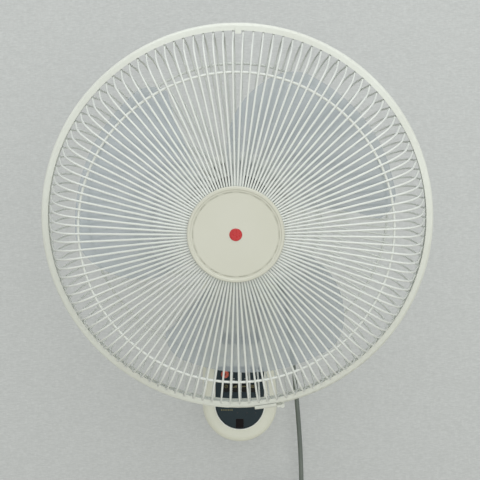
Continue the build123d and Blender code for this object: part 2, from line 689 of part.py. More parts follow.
def motor_rear_cover():
    """Deep rear cover with a rounded end and rows of vents."""
    shell = rounded_can(0, COVER_SPLIT) - rounded_can(COVER_WALL, COVER_SPLIT - 1)
    in_wall = rounded_can(COVER_WALL / 2, COVER_SPLIT)
    slot = block(-1.6, 1.6, COVER_END - 42, COVER_END - 16, COVER_R - 22, COVER_R + 2)
    slots = [slot.rotate(Axis.Y, angle) for angle in range(-130, 131, 10) if abs(angle) > 5]
    inner_row = arc_slot(14, 17, 60, COVER_END - 6, COVER_END + 1)
    outer_row = arc_slot(22, 25, 44, COVER_END - 6, COVER_END + 1)
    for tool in slots + around_axis(inner_row, 4) + around_axis(outer_row, 6):
        shell -= tool
    for x, z in bolt_places():
        shell += rod(PILLAR_R, (x, BELL_REAR_Y + BELL_WALL + 3, z), (x, COVER_END, z)) & in_wall
        shell -= rod(BOLT_R, (x, BELL_REAR_Y, z), (x, BELL_REAR_Y + 14, z))
    room = rod(SOCKET_R + POST_ROOM, (0, POST_Y, -COVER_R - 8), (0, POST_Y, -COVER_R + 22))
    return shell - room


def end_bell(inner_y, outward):
    """Cast end bell: a web with a bearing seat, a skirt that grips the stator and its lugs."""
    web_in = inner_y + outward * (WINDING_LENGTH + 1.0)
    web_out = web_in + outward * BELL_WALL
    grip = inner_y - outward * BELL_GRIP
    bell = turned((BEARING_R, web_in), (STATOR_R, web_in), (STATOR_R, grip),
                  (STATOR_R + BELL_WALL, grip), (STATOR_R + BELL_WALL, web_out),
                  (BEARING_R + BEARING_GRIP, web_out),
                  (BEARING_R + BEARING_GRIP, web_out + outward * BEARING_SEAT),
                  (BEARING_R, web_out + outward * BEARING_SEAT))
    low, high = min(web_in, web_out), max(web_in, web_out)
    for x, z in bolt_places():
        lug = rod(4.5, (x, low, z), (x, high, z)) - disc_y(STATOR_R + 1, low - 1, high + 1)
        bell += lug
    for x, z in bolt_places():
        bell -= rod(BOLT_R, (x, low - 1, z), (x, high + 1, z))
    window = arc_slot(20, 36, 34, low - 1, high + 1)
    return bell - around_axis(window, 6, start=30)


def stator_core():
    core = tube_y(STATOR_R, STATOR_BORE_R, STATOR_Y, STATOR_Y + STATOR_LENGTH)
    slot = block(STATOR_BORE_R - 1, STATOR_BORE_R + 11, STATOR_Y - 1,
                 STATOR_Y + STATOR_LENGTH + 1, -1.5, 1.5)
    return core - around_axis(slot, STATOR_SLOTS)


def stator_windings():
    front = tube_y(STATOR_R - 5, STATOR_BORE_R + 1.5, STATOR_Y - WINDING_LENGTH, STATOR_Y)
    end = STATOR_Y + STATOR_LENGTH
    rear = tube_y(STATOR_R - 5, STATOR_BORE_R + 1.5, end, end + WINDING_LENGTH)
    return Compound([front.solid(), rear.solid()])


def motor_bearings():
    """Two sintered sleeve bearings in the end bells."""
    sleeves = []
    for web_y, outward in ((BELL_FRONT_Y, -1), (BELL_REAR_Y, 1)):
        ends = sorted((web_y - outward * (BELL_WALL + 0.5), web_y + outward * (BEARING_SEAT - 0.2)))
        sleeves.append(tube_y(BEARING_R, SHAFT_R + FIT, *ends).solid())
    return Compound(sleeves)


def motor_bolts():
    """Screws that hold the bells to the covers' pillars, front and rear."""
    screws = []
    for x, z in bolt_places():
        for bell_y, inward, bite in ((BELL_FRONT_Y, 1, 3), (BELL_REAR_Y, -1, 6)):
            seat = bell_y + inward * BELL_WALL
            shank = rod(BOLT_R, (x, seat, z), (x, bell_y - inward * bite, z))
            head = rod(BOLT_HEAD_R, (x, seat, z), (x, seat + inward * BOLT_HEAD_T, z))
            screws.append((shank + head).solid())
    return Compound(screws)


def run_capacitor():
    box = block(-17, 17, BELL_REAR_Y + 6, BELL_REAR_Y + 30, 16, 33)
    box = fillet(box.edges().filter_by(Axis.Y), 2)
    foot = block(-6, 6, BELL_REAR_Y, BELL_REAR_Y + 6, 21, 25)
    return box + foot


def guard_nut():
    rear = PLATE_FRONT
    front = rear - GUARD_NUT_T
    nut = tube_y(GUARD_NUT_R, THREAD_BOSS_R, front, rear)
    grip = rod(2.2, (GUARD_NUT_R + 0.9, front - 1, 0), (GUARD_NUT_R + 0.9, rear + 1, 0))
    return nut - around_axis(grip, 18)


# ------------------------------------------------------------------ swing gear
CRANK_Y = POST_Y - LINK_LENGTH
CRANK_X = ANCHOR_X - CRANK_THROW
SOCKET_BOTTOM = BRACKET_DECK - SOCKET_DROP
SWING_MOTOR_BOTTOM = BRACKET_DECK - SWING_MOTOR_T
CRANK_DISC_TOP = SWING_MOTOR_BOTTOM - GAP
CRANK_DISC_BOTTOM = CRANK_DISC_TOP - CRANK_T
LINK_TOP = CRANK_DISC_BOTTOM - GAP
LINK_BOTTOM = LINK_TOP - LINK_T


def upright(radius, x, y, low, high):
    return rod(radius, (x, y, low), (x, y, high))


def swing_bracket():
    """Cast saddle under the motor, open below, with the socket that turns on the post."""
    half_w, inset = BRACKET_HALF_W, BRACKET_WALL
    outer = block(-half_w, half_w, BRACKET_FRONT, BRACKET_REAR, BRACKET_BOTTOM, -COVER_R + 16)
    outer = fillet(outer.edges().filter_by(Axis.Z), DECK_ROUND)
    hollow = block(-half_w + inset, half_w - inset, BRACKET_FRONT + inset, BRACKET_REAR - inset,
                   BRACKET_BOTTOM - 1, BRACKET_DECK)
    hollow = fillet(hollow.edges().filter_by(Axis.Z), DECK_ROUND - inset)
    front_part = disc_y(COVER_R + 1, 0, COVER_SPLIT)
    bracket = outer - hollow - disc_y(COVER_R, 0, 200) - front_part
    socket = upright(SOCKET_R, 0, POST_Y, SOCKET_BOTTOM, SOCKET_TOP)
    bore = upright(POST_R + FIT, 0, POST_Y, SOCKET_BOTTOM - 10, SOCKET_TOP + 10)
    shaft_hole = upright(SWING_SHAFT_R + 0.7, CRANK_X, CRANK_Y, BRACKET_DECK - 10, SOCKET_TOP + 10)
    return bracket + socket - bore - shaft_hole


def swing_post():
    """Steel post of the neck; a collar at its top keeps the head on."""
    collar_z = SOCKET_TOP + GAP
    post = upright(POST_R, 0, POST_Y, NECK_TOP - POST_SUNK, collar_z + POST_COLLAR_T)
    collar = upright(POST_R + POST_COLLAR, 0, POST_Y, collar_z, collar_z + POST_COLLAR_T)
    flange = upright(POST_R + POST_FLANGE, 0, POST_Y, NECK_TOP, SOCKET_BOTTOM - GAP)
    return post + collar + flange


def swing_motor():
    """Flat geared motor under the deck, with its output shaft."""
    inset = BRACKET_WALL + 0.5
    body = upright(SWING_MOTOR_R, CRANK_X, CRANK_Y, SWING_MOTOR_BOTTOM, BRACKET_DECK)
    body -= upright(SOCKET_R + 5, 0, POST_Y, BRACKET_BOTTOM - 10, SOCKET_TOP)
    room = block(-BRACKET_HALF_W + inset, BRACKET_HALF_W - inset, BRACKET_FRONT + inset,
                 BRACKET_REAR, BRACKET_BOTTOM - 10, SOCKET_TOP)
    shaft_end = SWING_MOTOR_BOTTOM - SWING_SHAFT_LENGTH
    return (body & room) + upright(SWING_SHAFT_R, CRANK_X, CRANK_Y, shaft_end, SWING_MOTOR_BOTTOM)


def swing_crank():
    pin_x = CRANK_X + CRANK_THROW
    disc = upright(CRANK_THROW + 2 * CRANK_PIN_R, CRANK_X, CRANK_Y, CRANK_DISC_BOTTOM, CRANK_DISC_TOP)
    pin = upright(CRANK_PIN_R, pin_x, CRANK_Y, LINK_BOTTOM - 2 * GAP, CRANK_DISC_BOTTOM)
    bore = upright(SWING_SHAFT_R + FIT, CRANK_X, CRANK_Y, LINK_BOTTOM, CRANK_DISC_TOP + 1)
    return disc + pin - bore


def swing_link():
    """Flat bar from the neck's anchor pin to the crank pin."""
    low, high, x = LINK_BOTTOM, LINK_TOP, ANCHOR_X
    big, small = CRANK_PIN_R + CRANK_EYE_CLEARANCE, ANCHOR_R + FIT
    bar = block(x - LINK_HALF_W, x + LINK_HALF_W, CRANK_Y, POST_Y, low, high)
    bar += upright(big + LINK_EYE_WALL, x, CRANK_Y, low, high)
    bar += upright(small + LINK_EYE_WALL, x, POST_Y, low, high)
    bar -= upright(big, x, CRANK_Y, low - 1, high + 1)
    return bar - upright(small, x, POST_Y, low - 1, high + 1)


def link_anchor():
    return upright(ANCHOR_R, ANCHOR_X, POST_Y, NECK_TOP - ANCHOR_SUNK, LINK_TOP + 0.4)


# ------------------------------------------------------------------ neck
HUB_Y, HUB_Z = to_head(TILT_Y, TILT_Z)
UNDER_CORNER = (POST_Y - NECK_BOSS_R, NECK_TOP - NECK_BOSS_T)


def neck_profile(shrink):
    """Side view of the neck, in the head's frame: y and z."""
    hub = CenterArc((HUB_Y, HUB_Z), NECK_HUB_R - shrink, 0, 360)
    low, high = NECK_TOP - NECK_BOSS_T + shrink, NECK_TOP - shrink
    front, rear = POST_Y - NECK_BOSS_R + shrink, POST_Y + NECK_BOSS_R - shrink
    boss = Polyline((front, low), (rear, low), (rear, high), (front, high), close=True)
    return make_hull(hub.edges() + boss.edges())


def under_plane():
    """Plane of the neck's sloping underside: x across, y up the slope, z outwards."""
    hub = Vector(0, HUB_Y, HUB_Z)
    corner = Vector(0, *UNDER_CORNER)
    reach = corner - hub
    turn = degrees(acos(NECK_HUB_R / reach.length))
    base = degrees(atan2(reach.Z, reach.Y))
    angle = radians(base + turn)
    touch = hub + Vector(0, cos(angle), sin(angle)) * NECK_HUB_R
    slope = corner - touch
    normal = (touch - hub).normalized()
    return Plane(origin=touch, x_dir=slope.cross(normal).normalized(), z_dir=normal), slope.length


def neck_screw_places():
    """Places of the cover's screws on the underside: across and up the slope."""
    low, mid, high = NECK_SCREW_ROWS
    x, foot_x = NECK_SCREW_X, NECK_SCREW_X * NECK_FOOT_SHARE
    return [(-foot_x, low), (foot_x, low), (-x, mid), (x, mid), (-x, high), (x, high)]


def on_slope(plane, x, y, top, thickness):
    """Place of a solid's middle on the underside, its outer face at top."""
    return plane * Pos(x, y, top - thickness / 2)


def cover_place():
    """The underside's plane, the middle of its cover up the slope and the cover's length."""
    plane, length = under_plane()
    return plane, (NECK_COVER_START + length - NECK_COVER_END) / 2, length - NECK_COVER_END - NECK_COVER_START


def neck_arm():
    """Hollow arm: an eye on the tilt pin at its foot and the seat of the post at its top."""
    solid = extrude(Plane.YZ.offset(-NECK_HALF_W) * neck_profile(0), 2 * NECK_HALF_W)
    sides = solid.edges().filter_by(lambda edge: abs(abs(edge.center().X) - NECK_HALF_W) < 0.01)
    solid = fillet(sides, NECK_ROUND)
    half_in = NECK_HALF_W - NECK_WALL
    hollow = extrude(Plane.YZ.offset(-half_in) * neck_profile(NECK_WALL), 2 * half_in)
    hollow -= rod(TILT_PIN_R + NECK_EYE_WALL, (-60, HUB_Y, HUB_Z), (60, HUB_Y, HUB_Z))
    hollow -= upright(POST_R + NECK_SEAT_WALL, 0, POST_Y, NECK_TOP - 60, NECK_TOP)
    hollow -= block(ANCHOR_X - 2 * ANCHOR_R, half_in, POST_Y - 2 * ANCHOR_R, POST_Y + 2 * ANCHOR_R,
                    NECK_TOP - ANCHOR_SUNK - 3, NECK_TOP)
    plane, middle, length = cover_place()
    pocket = Box(2 * NECK_COVER_HALF_W, length, 2 * NECK_COVER_T)
    opening = Box(2 * (NECK_COVER_HALF_W - NECK_COVER_LEDGE), length - 2 * NECK_COVER_LEDGE, 2 * NECK_WALL + 1)
    pocket, opening = plane * Pos(0, middle, 0) * pocket, plane * Pos(0, middle, 0) * opening
    for x, y in neck_screw_places():
        pillar = on_slope(plane, x, y, -NECK_COVER_T, 40) * Cylinder(NECK_PILLAR_R, 40)
        hollow -= pillar
        opening -= pillar
    solid = solid - hollow - opening - pocket
    for x, y in neck_screw_places():
        solid -= on_slope(plane, x, y, -NECK_COVER_T, 8) * Cylinder(NECK_SCREW_R, 8)
    solid -= rod(TILT_PIN_R + FIT, (-60, HUB_Y, HUB_Z), (60, HUB_Y, HUB_Z))
    solid -= upright(POST_R, 0, POST_Y, NECK_TOP - POST_SUNK, NECK_TOP + 5)
    return solid - upright(ANCHOR_R, ANCHOR_X, POST_Y, NECK_TOP - ANCHOR_SUNK, NECK_TOP + 5)


def neck_cover():
    plane, middle, length = cover_place()
    inset = GAP / 2
    plate = Box(2 * (NECK_COVER_HALF_W - inset), length - 2 * inset, NECK_COVER_T)
    plate = fillet(plate.edges().filter_by(Axis.Z), NECK_COVER_ROUND)
    plate = plane * Pos(0, middle, -NECK_COVER_T / 2) * plate
    for x, y in neck_screw_places():
        plate -= plane * Pos(x, y, 0) * Cylinder(NECK_SCREW_R + GAP / 2, 20)
        plate -= plane * Pos(x, y, 0) * Cylinder(NECK_HEAD_R + GAP, 2 * NECK_HEAD_SINK)
    return plate


def neck_screws():
    plane, _, _ = cover_place()
    screws = []
    for x, y in neck_screw_places():
        head = on_slope(plane, x, y, NECK_HEAD_T - NECK_HEAD_SINK, NECK_HEAD_T) * Cylinder(NECK_HEAD_R, NECK_HEAD_T)
        shank = on_slope(plane, x, y, -NECK_HEAD_SINK, NECK_SCREW_BITE) * Cylinder(NECK_SCREW_R, NECK_SCREW_BITE)
        screws.append((head + shank).solid())
    return Compound(screws)


# ------------------------------------------------------------------ base
BASE_ARC_Z = BASE_BOTTOM + BASE_HALF_W


def rounded_front(half, high, corner):
    """Front view of the base or its panel: straight sides, a half round foot, rounded top corners."""
    cut = corner * (1 - cos(pi / 4))
    foot = ThreePointArc((-half, BASE_ARC_Z), (0, BASE_ARC_Z - half), (half, BASE_ARC_Z))
    right = Line((half, BASE_ARC_Z), (half, high - corner))
    right_corner = ThreePointArc((half, high - corner), (half - cut, high - cut), (half - corner, high))
    top = Line((half - corner, high), (corner - half, high))
    left_corner = ThreePointArc((corner - half, high), (cut - half, high - cut), (-half, high - corner))
    left = Line((-half, high - corner), (-half, BASE_ARC_Z))
    return make_face(foot + right + right_corner + top + left_corner + left)


def base_outline(inset):
    return rounded_front(BASE_HALF_W - inset, BASE_TOP - inset, max(BASE_TOP_ROUND - inset, 1))


def panel_outline(inset):
    """The control panel, concentric with the base's foot."""
    return rounded_front(PANEL_HALF_W - inset, PANEL_TOP - inset, PANEL_ROUND)


def slab(face, y_front, y_rear):
    """A face drawn in x and z, given thickness from y_front to y_rear (both negative)."""
    return extrude(Plane.XZ.offset(-y_rear) * face, y_rear - y_front)


def button_holes(clear, y_front, y_rear):
    holes = rod(OFF_R + clear, (OFF_POS[0], y_front, OFF_POS[1]), (OFF_POS[0], y_rear, OFF_POS[1]))
    for x in KEY_XS:
        holes += block(x - KEY_W / 2 - clear, x + KEY_W / 2 + clear, y_front, y_rear,
                       KEY_Z - KEY_H / 2 - clear, KEY_Z + KEY_H / 2 + clear)
    return holes


def lens_holes(clear, y_front, y_rear):
    holes = [rod(LENS_R + clear, (x, y_front, LENS_Z), (x, y_rear, LENS_Z)) for x in LENS_XS]
    return holes


FACE_Y = -BASE_DEPTH
WALL_IN_Y = FACE_Y + BASE_WALL
BACK_FRONT_Y = -BRACKET_PLATE_T - BACK_T
CASE_POSTS = [(side * CASE_POST_X, z) for z in CASE_POST_ZS for side in (-1, 1)]
CHEEK_IN = SLOT_HALF_W
CHEEK_OUT = SLOT_HALF_W + BASE_WALL
BOARD_FRONT_Y = BOARD_Y - BOARD_T
PANEL_FRONT_Y = FACE_Y + PANEL_SINK


def base_housing():
    """Front shell of the base: a deep cover with a recess for the neck between two cheeks."""
    outer = slab(base_outline(0), FACE_Y, SKIRT_Y)
    front_edges = outer.edges().filter_by(lambda e: abs(e.center().Y - FACE_Y) < 0.01)
    outer = fillet(front_edges, BASE_EDGE_ROUND)
    inner = slab(base_outline(BASE_WALL), WALL_IN_Y, SKIRT_Y + 1)
    inner_edges = inner.edges().filter_by(lambda e: abs(e.center().Y - WALL_IN_Y) < 0.01)
    inner = fillet(inner_edges, BASE_EDGE_ROUND - BASE_WALL)
    slot_shell = block(-CHEEK_OUT, CHEEK_OUT, FACE_Y - 1, SLOT_BACK + BASE_WALL,
                       SLOT_FLOOR - BASE_WALL, BASE_TOP + 1)
    slot_shell = fillet(slot_shell.edges().filter_by(Axis.Y).sort_by(Axis.Z)[:2], SLOT_ROUND)
    slot = block(-CHEEK_IN, CHEEK_IN, FACE_Y - 5, SLOT_BACK, SLOT_FLOOR, BASE_TOP + 5)
    slot = fillet(slot.edges().filter_by(Axis.Y).sort_by(Axis.Z)[:2], SLOT_ROUND - BASE_WALL)
    cavity = inner - slot_shell
    shell = outer - cavity - slot
    lip = slab(panel_outline(-LIP_W), FACE_Y - LIP_H, FACE_Y)
    shell += lip - slab(panel_outline(0), FACE_Y - 2 * LIP_H, FACE_Y + 1)
    for side in (-1, 1):
        shell += rod(TILT_PIN_R + PIN_BOSS_WALL, (side * CHEEK_OUT, TILT_Y, TILT_Z),
                     (side * PIN_END, TILT_Y, TILT_Z))
    for x, z in BOARD_POSTS:
        shell += rod(BOARD_POST_R, (x, WALL_IN_Y, z), (x, BOARD_FRONT_Y, z))
    for x, z in CASE_POSTS:
        shell += rod(CASE_POST_R, (x, WALL_IN_Y, z), (x, BACK_FRONT_Y, z)) & outer
    shell -= slab(panel_outline(0), FACE_Y - 0.1, FACE_Y + PANEL_T)
    shell -= button_holes(GAP, FACE_Y - 3, WALL_IN_Y + 1)
    shell -= window_box(GAP, FACE_Y - 1, WALL_IN_Y + 1)
    for hole in lens_holes(0, FACE_Y - 3, WALL_IN_Y + 1):
        shell -= hole
    for x, z in BOARD_POSTS:
        shell -= rod(BOARD_SCREW_R, (x, BOARD_FRONT_Y - BOARD_SCREW_BITE - 2, z), (x, BOARD_Y, z))
    for x, z in CASE_POSTS:
        shell -= rod(CASE_SCREW_R, (x, BACK_FRONT_Y - CASE_SCREW_BITE - 3, z), (x, BACK_FRONT_Y + 1, z))
    shell -= rod(TILT_PIN_R, (-PIN_END - 1, TILT_Y, TILT_Z), (PIN_END + 1, TILT_Y, TILT_Z))
    shell -= gland_collar()
    return shell


def window_box(clear, y_front, y_rear):
    return block(-WINDOW_W / 2 - clear, WINDOW_W / 2 + clear, y_front, y_rear,
                 WINDOW_Z - WINDOW_H / 2 - clear, WINDOW_Z + WINDOW_H / 2 + clear)


def control_panel():
    """Dark overlay set into the front, with the holes of its keys, lenses and window."""
    panel = slab(panel_outline(PANEL_FIT), PANEL_FRONT_Y, FACE_Y + PANEL_T)
    panel -= button_holes(GAP, FACE_Y - 3, FACE_Y + 5)
    panel -= window_box(0.1, FACE_Y - 3, FACE_Y + 5)
    for hole in lens_holes(0, FACE_Y - 3, FACE_Y + 5):
        panel -= hole
    return panel


def receiver_window():
    pane = window_box(0.0, FACE_Y + PANEL_SINK / 2, WALL_IN_Y)
    back = block(-WINDOW_W / 2 - 1.5, WINDOW_W / 2 + 1.5, WALL_IN_Y, WALL_IN_Y + 1.2,
                 WINDOW_Z - WINDOW_H / 2 + 1, WINDOW_Z + WINDOW_H / 2 + 1.5)
    return pane + back


def indicator_lenses():
    """Three lenses on the lamps of the board, seen through the panel."""
    lenses = []
    for x in LENS_XS:
        lens = rod(LENS_R, (x, FACE_Y + PANEL_SINK / 2, LENS_Z), (x, BOARD_FRONT_Y, LENS_Z))
        lenses.append(lens.solid())
    return Compound(lenses)


def control_board():
    """Board behind the panel, with a transformer and a relay on its back."""
    board = slab(panel_outline(BOARD_INSET), BOARD_FRONT_Y, BOARD_Y)
    for x, z in BOARD_POSTS:
        board -= rod(BOARD_SCREW_R + 2 * FIT, (x, BOARD_FRONT_Y - 1, z), (x, BOARD_Y + 1, z))
    transformer = block(-16, -4, BOARD_Y, BOARD_Y + 9, KEY_Z - 22, KEY_Z - 4)
    relay = block(4, 20, BOARD_Y, BOARD_Y + 12, KEY_Z - 14, KEY_Z + 8)
    return board + transformer + relay


def board_screws():
    screws = []
    for x, z in BOARD_POSTS:
        head = rod(BOARD_HEAD_R, (x, BOARD_Y, z), (x, BOARD_Y + BOARD_HEAD_T, z))
        shank = rod(BOARD_SCREW_R, (x, BOARD_FRONT_Y - BOARD_SCREW_BITE, z), (x, BOARD_Y, z))
        screws.append((head + shank).solid())
    return Compound(screws)


def switch_places():
    return [OFF_POS] + [(x, KEY_Z) for x in KEY_XS]


def key_switches():
    """A push switch on the board behind each button."""
    front = BOARD_FRONT_Y - SWITCH_T
    half = SWITCH_SIZE / 2
    switches = []
    for x, z in switch_places():
        case = block(x - half, x + half, front, BOARD_FRONT_Y, z - half, z + half)
        plunger = rod(PLUNGER_R, (x, front - PLUNGER_T, z), (x, front, z))
        switches.append((case + plunger).solid())
    return Compound(switches)


SWITCH_TIP = BOARD_FRONT_Y - SWITCH_T - PLUNGER_T
FLANGE_FRONT = WALL_IN_Y + 0.25
FLANGE_REAR = FLANGE_FRONT + KEY_FLANGE
STEM_END = SWITCH_TIP - KEY_TRAVEL - 0.2
BUTTON_FRONT = FACE_Y - KEY_PROUD


def off_button():
    x, z = OFF_POS
    cap = rod(OFF_R, (x, BUTTON_FRONT, z), (x, FLANGE_FRONT, z))
    cap = fillet(cap.edges().sort_by(Axis.Y)[0], KEY_EDGE)
    flange = rod(OFF_R + OFF_FLANGE_OUT, (x, FLANGE_FRONT, z), (x, FLANGE_REAR, z))
    return cap + flange + rod(STEM_R, (x, FLANGE_REAR, z), (x, STEM_END, z))


def key_button(x):
    half_w, half_h = KEY_W / 2, KEY_H / 2
    out_w, out_h = half_w + KEY_FLANGE_OUT, half_h + KEY_FLANGE_OUT
    cap = block(x - half_w, x + half_w, BUTTON_FRONT, FLANGE_FRONT, KEY_Z - half_h, KEY_Z + half_h)
    cap = fillet(cap.edges().filter_by(lambda edge: abs(edge.center().Y - BUTTON_FRONT) < 0.01), KEY_EDGE)
    flange = block(x - out_w, x + out_w, FLANGE_FRONT, FLANGE_REAR, KEY_Z - out_h, KEY_Z + out_h)
    return cap + flange + rod(STEM_R, (x, FLANGE_REAR, KEY_Z), (x, STEM_END, KEY_Z))


def power_supply():
    """Supply board of the fan, on the back cover, with its transformer, fuse and terminals."""
    rear = BACK_FRONT_Y - SUPPLY_GAP
    front = rear - SUPPLY_T
    board = block(-SUPPLY_HALF_W, SUPPLY_HALF_W, front, rear, SUPPLY_LOW, SUPPLY_HIGH)
    for x in (4 - SUPPLY_HALF_W, SUPPLY_HALF_W - 4):
        for z in (SUPPLY_LOW + 4, SUPPLY_HIGH - 4):
            board += rod(2.5, (x, rear, z), (x, BACK_FRONT_Y, z))
    transformer = block(4 - SUPPLY_HALF_W, 2, front - 20.4, front, SUPPLY_LOW + 20, SUPPLY_HIGH - 10)
    fuse = block(8, 14, front - 9.4, front, SUPPLY_LOW + 12, SUPPLY_HIGH - 16)
    terminals = block(17, SUPPLY_HALF_W - 2, front - 11.4, front, SUPPLY_HIGH - 30, SUPPLY_HIGH - 8)
    return board + transformer + fuse + terminals


def wall_screw_places():
    return [(x * WALL_SPACING_X / 2, z * WALL_SPACING_Z / 2) for x in (-1, 1) for z in (-1, 1)]


def base_back_cover():
    """Back of the base, inside the housing's skirt, with slots for the wall plate's hooks."""
    plate = slab(base_outline(BASE_WALL + 0.2), BACK_FRONT_Y, -BRACKET_PLATE_T)
    room = PLATE_HOOK_HALF_W + PLATE_HOOK_ROOM
    for x in (-PLATE_HOOK_X, PLATE_HOOK_X):
        plate -= block(x - room, x + room, BACK_FRONT_Y - 5, 5, PLATE_HOOK_Z - 1, PLATE_HOOK_Z + PLATE_HOOK_RISE + 3)
    for x, z in CASE_POSTS:
        plate -= rod(CASE_SCREW_R + GAP, (x, BACK_FRONT_Y - 5, z), (x, 5, z))
        plate -= rod(CASE_HEAD_R + 0.2, (x, BACK_FRONT_Y + CASE_HEAD_T, z), (x, 5, z))
    for x, z in wall_screw_places():
        plate -= rod(2 * WALL_HOLE_R + 0.5, (x, BACK_FRONT_Y - 5, z), (x, 5, z))
    return plate


def base_screws():
    screws = []
    for x, z in CASE_POSTS:
        seat = BACK_FRONT_Y + CASE_HEAD_T
        head = rod(CASE_HEAD_R, (x, seat, z), (x, BACK_FRONT_Y + BACK_T - 0.2, z))
        shank = rod(CASE_SCREW_R, (x, BACK_FRONT_Y - CASE_SCREW_BITE, z), (x, seat, z))
        screws.append((head + shank).solid())
    return Compound(screws)


def wall_bracket():
    """Steel plate screwed to the wall; two hooks at its middle carry the base."""
    plate = block(-PLATE_HALF_W, PLATE_HALF_W, -BRACKET_PLATE_T, 0, -PLATE_HALF_H, PLATE_HALF_H)
    plate = fillet(plate.edges().filter_by(Axis.Y), PLATE_ROUND)
    rear, low = BACK_FRONT_Y - GAP, PLATE_HOOK_Z
    front = rear - BRACKET_PLATE_T
    for x in (-PLATE_HOOK_X, PLATE_HOOK_X):
        left, right = x - PLATE_HOOK_HALF_W, x + PLATE_HOOK_HALF_W
        plate += block(left, right, front, -BRACKET_PLATE_T, low, low + BRACKET_PLATE_T)
        plate += block(left, right, front, rear, low, low + PLATE_HOOK_RISE)
    for x, z in wall_screw_places():
        plate -= rod(WALL_HOLE_R, (x, -BRACKET_PLATE_T - 1, z), (x, 1, z))
    return plate


def tilt_pin():
    pin = rod(TILT_PIN_R, (-PIN_END, TILT_Y, TILT_Z), (PIN_END + TILT_NUT_T + 2, TILT_Y, TILT_Z))
    head = rod(TILT_NUT_R, (-PIN_END - PIN_HEAD_T, TILT_Y, TILT_Z), (-PIN_END, TILT_Y, TILT_Z))
    return pin + head


def tilt_nut():
    nut = extrude(Plane.YZ.offset(PIN_END) * Pos(TILT_Y, TILT_Z) * RegularPolygon(TILT_NUT_R, 6), TILT_NUT_T)
    return nut - rod(TILT_PIN_R, (PIN_END - 1, TILT_Y, TILT_Z), (PIN_END + TILT_NUT_T + 1, TILT_Y, TILT_Z))


def friction_washers():
    rings = []
    for side in (-1, 1):
        near, far = side * (NECK_HALF_W + FIT), side * SLOT_HALF_W
        ring = rod(NECK_HUB_R - 5, (near, TILT_Y, TILT_Z), (far, TILT_Y, TILT_Z))
        ring -= rod(TILT_PIN_R, (near - side, TILT_Y, TILT_Z), (far + side, TILT_Y, TILT_Z))
        rings.append(ring.solid())
    return Compound(rings)


# ------------------------------------------------------------------ cord
def gland_point(turned_by):
    """Point and direction on the gland's curve, after it has turned down by an angle."""
    first, now = radians(GLAND_ANGLE), radians(GLAND_ANGLE + turned_by)
    x = GLAND_EXIT[0] + GLAND_OUTSIDE * cos(first) + GLAND_BEND * (sin(now) - sin(first))
    z = GLAND_EXIT[1] - GLAND_OUTSIDE * sin(first) - GLAND_BEND * (cos(first) - cos(now))
    return Vector(x, CORD_Y, z), Vector(cos(now), 0, -sin(now))


def gland_collar():
    point, direction = gland_point(0)
    return rod(GLAND_COLLAR_R, point - direction * (GLAND_INSIDE + GLAND_OUTSIDE), point)


def cord_gland():
    """Tapered strain relief, moulded round the cord, that curves down as it leaves the base."""
    sections = []
    steps = 5
    for i in range(steps + 1):
        share = i / steps
        point, direction = gland_point(GLAND_TURN * share)
        radius = GLAND_TAPER_R + (CORD_R + GLAND_TIP_WALL - GLAND_TAPER_R) * share
        sections.append(Plane(origin=point, z_dir=direction) * Circle(radius))
    return loft(sections) + gland_collar()


def arc_radii(points):
    """For each corner of a route: 0.45 of its shorter run over the tangent of half the turn."""
    radii = []
    for before, here, after in zip(points, points[1:], points[2:]):
        first, second = Vector(*here) - Vector(*before), Vector(*after) - Vector(*here)
        turn = radians(first.get_angle(second))
        radii.append(0.45 * min(first.length, second.length) / tan(turn / 2))
    return radii


def cord_points():
    """Route of the free stretch, from the gland's tip to the coil's tube."""
    tip, _ = gland_point(GLAND_TURN)
    middle = [(x, CORD_Y, z) for x, z in CORD_ROUTE]
    last = (COIL_X, CORD_Y, COIL_TOP_Z + COIL_LEAD)
    return [tip] + middle + [last]


def power_cord():
    points = cord_points()
    radii = arc_radii(points)
    print("cord radii, mm:", [round(r, 1) for r in radii])
    path = FilletPolyline(*points, radius=radii)
    tube = sweep(Plane(origin=path @ 0, z_dir=path % 0) * Circle(CORD_R), path=path)
    print("cord length, mm:", round(path.length, 1), "volume ratio:",
          round(tube.volume / (pi * CORD_R ** 2 * path.length), 4))
    return tube


def coil_path():
    """Two layers of flat turns: half-turn arcs in, a climbing half turn, half-turn arcs out."""
    step = COIL_PITCH / 2
    start_r = COIL_MEAN_R + 3 * step
    edges = [Line((COIL_X, CORD_Y, COIL_TOP_Z + COIL_LEAD), (COIL_X, CORD_Y, COIL_TOP_Z))]
    x, y, side = COIL_X, CORD_Y, -1
    radius = start_r
    for _ in range(6):
        x = half_turn(edges, x, y, radius, side)
        side, radius = -side, radius - step
    x, y = climb(edges, x, y, radius, side, COIL_PITCH)
    side = -side
    for _ in range(5):
        radius += step
        x = half_turn(edges, x, y, radius, side)
        side = -side
    edges.append(Line((x, y, COIL_TOP_Z), (x, y, COIL_TOP_Z - COIL_LEAD)))
    return Wire(edges), (x, y, COIL_TOP_Z - COIL_LEAD)


def half_turn(edges, x, y, radius, side):
    """Adds a flat half turn; side is -1 under the coil's middle and 1 over it."""
    end = x - 2 * radius if side < 0 else x + 2 * radius
    middle = (x + end) / 2
    edges.append(ThreePointArc((x, y, COIL_TOP_Z), (middle, y, COIL_TOP_Z + side * radius),
                               (end, y, COIL_TOP_Z)))
    return end


def climb(edges, x, y, radius, side, rise):
    """Adds a half turn that also moves by rise in y, as two arcs that meet in line."""
    end = x - 2 * radius if side < 0 else x + 2 * radius
    middle = ((x + end) / 2, y + rise / 2, COIL_TOP_Z + side * sqrt(radius ** 2 + rise ** 2 / 4))
    edges.append(TangentArc((x, y, COIL_TOP_Z), middle, tangent=(0, 0, side)))
    edges.append(TangentArc(middle, (end, y + rise, COIL_TOP_Z), tangent=edges[-1] % 1))
    return end, y + rise


